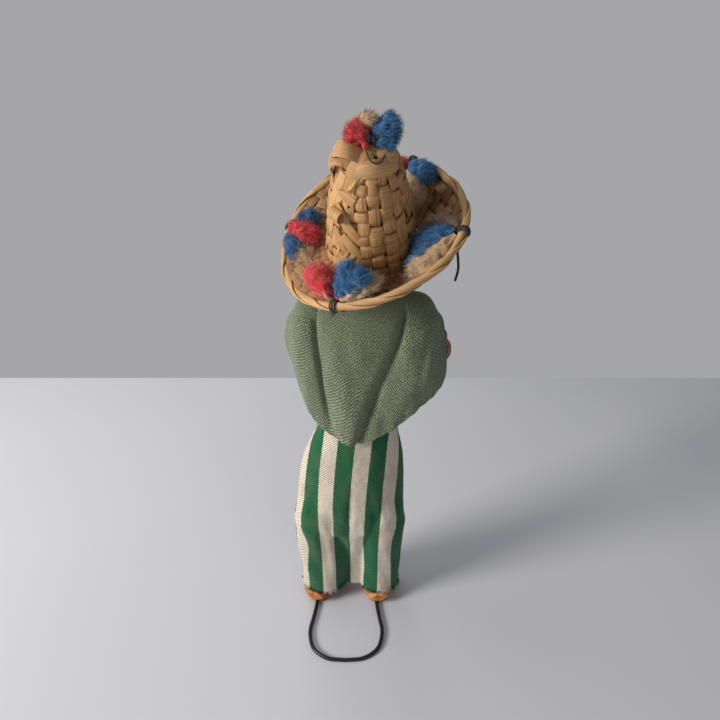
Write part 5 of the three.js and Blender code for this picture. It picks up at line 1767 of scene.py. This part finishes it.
def panel_swell(u, v):
    """How much each panel of the back swells between its creases, 0 to 1."""
    edges = [top + (bottom - top) * v for top, bottom in CREASES]
    swell = np.zeros(np.broadcast(u, v).shape)
    for low, high in zip(edges[:-1], edges[1:]):
        share = (u - low) / (high - low)
        inside = (share > 0) & (share < 1)
        swell = np.where(inside, np.sin(np.pi * np.clip(share, 0, 1)), swell)
    return swell * smooth(v, 0.15, 0.6)


def drape(points):
    """Cloth that would pass through a sleeve or the trousers' seat lies on it instead."""
    reach = SLEEVE_RADIUS + CLOTH_GAP
    for marks in (arm_marks("left"), arm_marks("right")):
        for start, end in 2 * list(zip(marks[:-1], marks[1:])):
            way = end - start
            share = np.clip((points - start) @ way / (way @ way), 0, 1)
            nearest = start + share[..., None] * way
            away = points - nearest
            distance = np.linalg.norm(away, axis=-1, keepdims=True)
            pushed = nearest + away / np.maximum(distance, 1e-6) * reach
            points = np.where(distance < reach, pushed, points)
    height = points[..., 2]
    seat_foot, seat_top = SEAT_KNOTS[0][2], SEAT_KNOTS[-1][2]
    wide, deep = knot_sizes(SEAT_KNOTS, np.clip(height, seat_foot, seat_top))
    across = points[..., 0] - lean(height)
    inside = np.hypot(across / (wide + SEAT_GAP), points[..., 1] / (deep + SEAT_GAP))
    size = np.where((height < seat_top + 1) & (inside < 1), 1 / np.maximum(inside, 0.3), 1.0)
    return np.stack([lean(height) + across * size, points[..., 1] * size, height], axis=-1)


def poncho_surface(u, v):
    """The middle of the cloth over a grid of ways round it and ways down it, each 0 to 1."""
    strands = np.stack([curve(line, u % 1.0, True) for line in PONCHO_LINES])
    points = curve(strands, v)
    u_grid, v_grid = np.meshgrid(u % 1.0, v)
    points[..., 1] -= 3.5 * panel_swell(u_grid, v_grid)
    for top, bottom, depth, width in BACK_FOLDS:
        line = top + (bottom - top) * v_grid
        valley = np.exp(-(((u_grid - line) / width) ** 2)) * smooth(v_grid, 0.2, 0.45)
        points[..., 1] += depth * valley
    soft = wobble(points * [0.5, 0.5, 0.22], 4.2, 7, 1.6) * smooth(v_grid, 0.25, 0.8)
    points[..., 1] -= soft * np.where(points[..., 1] < 0, 1, -1)
    return drape(points)


def poncho_half(name, start, end):
    """Half of the cloth, from its back's middle line round one side to its front's, and its area."""
    u = np.linspace(start, end, 250)
    v = np.linspace(0, 1, 120)
    points = poncho_surface(u, v)
    hem = np.sin(u * 310) * 0.35 + np.sin(u * 97) * 0.3
    points[-1, :, 2] += hem
    points[-2, :, 2] += hem * 0.5
    down = np.gradient(points, axis=0)
    across = np.gradient(points, axis=1)
    patches = np.cross(across, down)
    thick = unit(patches) * PONCHO_WALL / 2
    # The threads run slantwise, so the surface coordinates are turned by an eighth of a circle
    from_back = reach_along(points[70])
    if start < BACK_MIDDLE:
        from_back = from_back - from_back[-1]
    steps = np.linalg.norm(np.diff(points, axis=0), axis=-1)
    depth = np.concatenate([np.zeros((1, len(u))), np.cumsum(steps, axis=0)])
    depth = depth.mean(axis=1, keepdims=True) * 0.5 + depth * 0.5
    coords = np.stack([depth + from_back, depth - from_back], axis=-1) * math.sqrt(0.5)
    rows, columns = points.shape[:2]
    shape = Shape()
    first = shape.walled(points + thick, points - thick, coords, False)
    for column, flip in ((0, True), (columns - 1, False)):
        low = first + np.arange(rows) * columns + column
        high = first + (2 * rows - 1 - np.arange(rows)) * columns + column
        for k in range(rows - 1):
            face = [int(low[k]), int(low[k + 1]), int(high[k + 1]), int(high[k])]
            shape.faces.append(face[::-1] if flip else face)
            shape.coords.append(np.zeros((4, 2)))
    area = float(np.linalg.norm(patches, axis=-1).sum()) * MM**2
    return shape.piece(name, GREEN_CLOTH, 50), area


# Head

HEAD_SIZE = [17, 17, 18]


def face_bump(points, x, z, width, height):
    """A soft bump on the front of the head, at places across and up from its centre, on both sides."""
    across = (np.abs(points[..., 0] - SPINE_X) - x) / width
    up = (points[..., 2] - HEAD_CENTRE[2] - z) / height
    return np.exp(-(across**2) - up**2) * (points[..., 1] > 0)


def doll_head():
    """A stuffed cloth head with a small nose pinched up in front."""
    rows, columns = 90, 120
    out = globe(rows, columns, 0.03)
    points = HEAD_CENTRE + out * HEAD_SIZE
    nose = face_bump(points, 0, -2, 2.1, 2.6)
    cheeks = face_bump(points, 7.5, -5, 3.5, 3.5)
    points = points + out * (3.6 * nose + 0.5 * cheeks + wobble(points, 7.0, 4, 0.35))[..., None]
    shape = Shape()
    shape.closed_form(points, grid_coords(np.linspace(0, 106, columns + 1), np.linspace(0, 56, rows)))
    return shape.piece("head_cloth", SKIN_CLOTH)


def on_face(x, z, off):
    """A point on the face at a place across and up from the head's centre."""
    wide, deep, tall = HEAD_SIZE
    flat = max(1 - (x / wide) ** 2 - (z / tall) ** 2, 0.05)
    return HEAD_CENTRE + np.array([x, deep * math.sqrt(flat) + off, z])


def mouth():
    """A plain stitched mouth."""
    shape = Shape()
    marks = [on_face(x, -8.4 + 0.06 * x * x, 0.35) for x in (-3.6, -1.8, 0, 1.8, 3.6)]
    shape.tube(along_path(marks, 24), 0.5, 8)
    return shape


def eyes_and_brows():
    """Plain stitched eyes of five threads each, and a brow over each."""
    shape = Shape()
    for side in (-1, 1):
        for k in range(5):
            x = side * 5.6 + (k - 2) * 0.62
            tall = 1.5 - 0.32 * abs(k - 2)
            marks = [on_face(x, -1.2 + z * tall, 0.35 if z else 0.6) for z in (-1, 0, 1)]
            shape.tube(along_path(marks, 8), 0.36, 7)
        brow = []
        for share in (0, 1 / 3, 2 / 3, 1):
            brow.append(on_face(side * (3.2 + 4.8 * share), 3.4 + 0.5 * math.sin(share * math.pi), 0.35))
        shape.tube(along_path(brow, 16), 0.38, 7, 0.4)
    return shape


def strand_end(front, low):
    """How far down a strand hangs: a short fringe in front, longer at the sides and lowest behind."""
    if front > 0.62:
        return -46
    if front > 0.3:
        return low + 30
    return low + 14 if front > -0.05 else low


def yarn_hair():
    """Yarn sewn along the crown of the head, hanging down its back and sides in two layers."""
    shape = Shape()
    pick = random_numbers(12)
    strands = 62
    for layer, (radius, low) in enumerate(((18.4, -134), (19.4, -129))):
        for k in range(strands):
            around = 360 * k / strands + 3 * layer + pick.uniform(-1.5, 1.5)
            end = strand_end(math.cos(math.radians(around - 90)), low) + pick.uniform(-4, 4)
            fall = np.radians(np.linspace(-8, end, 22))
            sway = np.radians(around + pick.uniform(-3, 3) * np.sin(fall * 2))
            size = (radius + 0.3 * np.sin(fall * 5 + k))[:, None]
            ring = np.stack([np.cos(sway), np.sin(sway), 0 * sway], axis=-1)
            path = HEAD_CENTRE + size * (np.sin(-fall)[:, None] * ring + np.cos(fall)[:, None] * UP)
            shape.tube(path, 0.95, 7, pick.uniform(0.2, 0.9), twist=0.5)
    return shape


# Stage

FLOOR_REACH = 3.0
FLOOR_BEHIND = 333.0


def area_light(name, place, aim, size, power, tint=(1, 1, 1)):
    """A round lamp, its places and size in metres and its power in watts."""
    data = bpy.data.lights.new(name, "AREA")
    data.shape = "DISK"
    data.size = size
    data.energy = power
    data.color = tint
    lamp = bpy.data.objects.new(name, data)
    lamp.location = place
    lamp.rotation_euler = (Vector(aim) - Vector(place)).to_track_quat("-Z", "Y").to_euler()
    bpy.context.scene.collection.objects.link(lamp)


def set_backdrop():
    """Soft light from all sides, and a plain grey backdrop behind the floor's edge."""
    world = bpy.data.worlds.new("studio")
    world.use_nodes = True
    tree = world.node_tree
    around = tree.nodes["Background"]
    around.inputs["Color"].default_value = (0.88, 0.9, 0.94, 1)
    around.inputs["Strength"].default_value = 0.21
    backdrop = tree.nodes.new("ShaderNodeBackground")
    backdrop.inputs["Color"].default_value = (0.38, 0.38, 0.39, 1)
    seen = tree.nodes.new("ShaderNodeLightPath")
    both = tree.nodes.new("ShaderNodeMixShader")
    tree.links.new(seen.outputs["Is Camera Ray"], both.inputs[0])
    tree.links.new(around.outputs[0], both.inputs[1])
    tree.links.new(backdrop.outputs[0], both.inputs[2])
    tree.links.new(both.outputs[0], tree.nodes["World Output"].inputs["Surface"])
    bpy.context.scene.world = world


def set_stage():
    """A pale paper floor that ends a little way behind the doll, and daylight from a window at its left."""
    mesh = bpy.data.meshes.new("floor")
    reach = FLOOR_REACH
    back = float(metres((0, FLOOR_BEHIND, 0))[1])
    corners = [(-reach, -reach, 0), (reach, -reach, 0), (reach, back, 0), (-reach, back, 0)]
    mesh.from_pydata(corners, [], [(0, 1, 2, 3)])
    floor = link("floor", mesh)

    def paper(tree):
        broad = cloud(tree, in_millimetres(tree), 0.004, 2.0)
        return mix_colour(tree, broad, colour(208, 208, 214), colour(218, 218, 223))

    mesh.materials.append(finish("pale floor", paper, 0.9))
    set_backdrop()
    bpy.context.scene.view_settings.view_transform = "Standard"
    area_light("window", (-1.05, -0.44, 0.56), (0, 0, 0.15), 0.42, 14.0, (1.0, 0.985, 0.96))
    area_light("fill", (0.5, -0.9, 0.45), (0, 0, 0.12), 0.75, 0.6, (0.93, 0.96, 1.0))
    area_light("top", (-0.3, 0.1, 0.95), (0, 0, 0.18), 0.5, 1.2)
    area_light("front", (-0.35, 1.25, 0.45), (0, 0, 0.15), 0.75, 4.5, (0.96, 0.98, 1.0))


# Assembly


def build_hat():
    crown_plait = crown_cap(crown_weave())
    set_piece(crown_plait.piece("hat_crown_weave", PALM), "hat", "palm", "palm_hat")
    set_piece(brim_weave().piece("hat_brim_weave", BRIM_PALM), "hat", "palm")
    set_piece(brim_weave(True).piece("hat_brim_underside", BRIM_PALM), "hat", "palm")
    set_piece(hat_shaded_lining().piece("hat_shaded_lining", SHADED_LINING_PALM), "hat", "palm")
    set_piece(brim_binding().piece("hat_binding", BINDING_PALM, 50, True), "hat", "palm", "brim_binding")
    set_piece(crown_loop().piece("hat_loop", PALM), "hat", "palm", "crown_loop")
    set_piece(crown_curl().piece("hat_curl", PALM), "hat", "palm", "crown_curl")
    set_piece(loose_ends().piece("hat_loose_ends", BINDING_PALM), "hat", "palm")
    for lock, node, dye in brim_tufts() + crown_tuft():
        solids = [node] if node in frame["nodes"] else []
        set_piece(lock, "hat", dye + "_wool", *solids)
    for tuft, angle in TUFTS.items():
        thread = tie_piece(angle, tuft == "back")
        if tuft == "right":
            loose_thread(thread, LOOSE_THREAD_ANGLE)
        made = thread.piece(f"thread_{tuft}_tuft", BLACK_THREAD)
        set_piece(made, "hat", "black_thread", f"{tuft}_tuft_tie")
    set_piece(crown_tie().piece("thread_crown_tuft", BLACK_THREAD), "hat", "black_thread", "crown_tie")
    set_piece(red_knots().piece("thread_red_knots", RED_THREAD), "hat", "red_wool")
    set_piece(husk_bits().piece("hat_husk_bits", HUSK), "hat", "palm")


def build_stand():
    shape = Shape()
    shape.tube(stand_path(), WIRE_RADIUS, 20)
    set_piece(shape.piece("stand_loop_wire", BLACK_WIRE), "root", "black_wire", "stand_wire")
    for side, name in ((-1, "left"), (1, "right")):
        stuffing = soft_copy(f"{name}_leg", f"{name}_leg_stuffing", 1.1, 3, CALICO, -2.2)
        leg = set_piece(stuffing, "root", "calico", f"{name}_leg")
        leather = RUSTY_LEATHER if name == "left" else TAN_LEATHER
        upper = shoe_upper(side).piece(f"{name}_shoe_leather", leather)
        set_piece(upper, "root", "tan_leather", f"{name}_shoe_upper")
        set_piece(shoe_stitches(side).piece(f"{name}_shoe_stitches", RED_THREAD), "root", "tan_leather")
        sole = shoe_sole(side).piece(f"{name}_shoe_sole_leather", SOLE_LEATHER, 40)
        set_piece(sole, "root", "sole_leather", f"{name}_shoe_sole")


def build_clothes():
    set_piece(trousers(), "root", "striped_twill", "trousers")
    for made in trouser_fringes():
        set_piece(made, "root", "striped_twill")
    torso = set_piece(soft_copy("torso", "torso_stuffing", 1.6, 3, CALICO, -1.5), "root", "calico", "torso")
    set_piece(shirt_body(), "root", "red_brown_cloth", "shirt_body")
    right, right_area = poncho_half("poncho_right_half", 0.75, 1.25)
    left, left_area = poncho_half("poncho_left_half", 0.25, 0.75)
    for half, side, way, area in ((right, "right", 1, right_area), (left, "left", -1, left_area)):
        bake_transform(half)
    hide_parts("poncho")


def build_arms():
    for name in ("left", "right"):
        body = f"{name}_arm"
        arm = set_piece(soft_copy(body, f"{name}_arm_stuffing", 0.8, 2, CALICO, -0.8), body, "calico", body)
        mitten = soft_copy(f"{name}_hand", f"{name}_mitten", 0.45, 4, SKIN_CLOTH)
        hand = set_piece(mitten, body, "skin_cloth", f"{name}_hand")
        set_piece(sleeve(name), body, "red_brown_cloth", f"{name}_sleeve")
        frame["nodes"][f"{name}_arm_wire"].material_slots[0].material = GREY_WIRE


def build_head():
    frame["nodes"]["spine_wire"].material_slots[0].material = GREY_WIRE
    wrap = set_piece(soft_copy("neck_wrap", "neck_binding", 0.6, 2, CALICO), "root", "calico", "neck_wrap")
    head = set_piece(doll_head(), "head", "skin_cloth", "head")
    set_piece(eyes_and_brows().piece("face_eyes", BLACK_THREAD), "head", "black_thread")
    set_piece(mouth().piece("face_mouth", RED_THREAD), "head", "red_wool")
    set_piece(yarn_hair().piece("head_yarn_hair", BLACK_YARN), "head", "black_yarn", "hair")


set_camera()
set_stage()
build_stand()
build_clothes()
build_arms()
build_head()
build_hat()
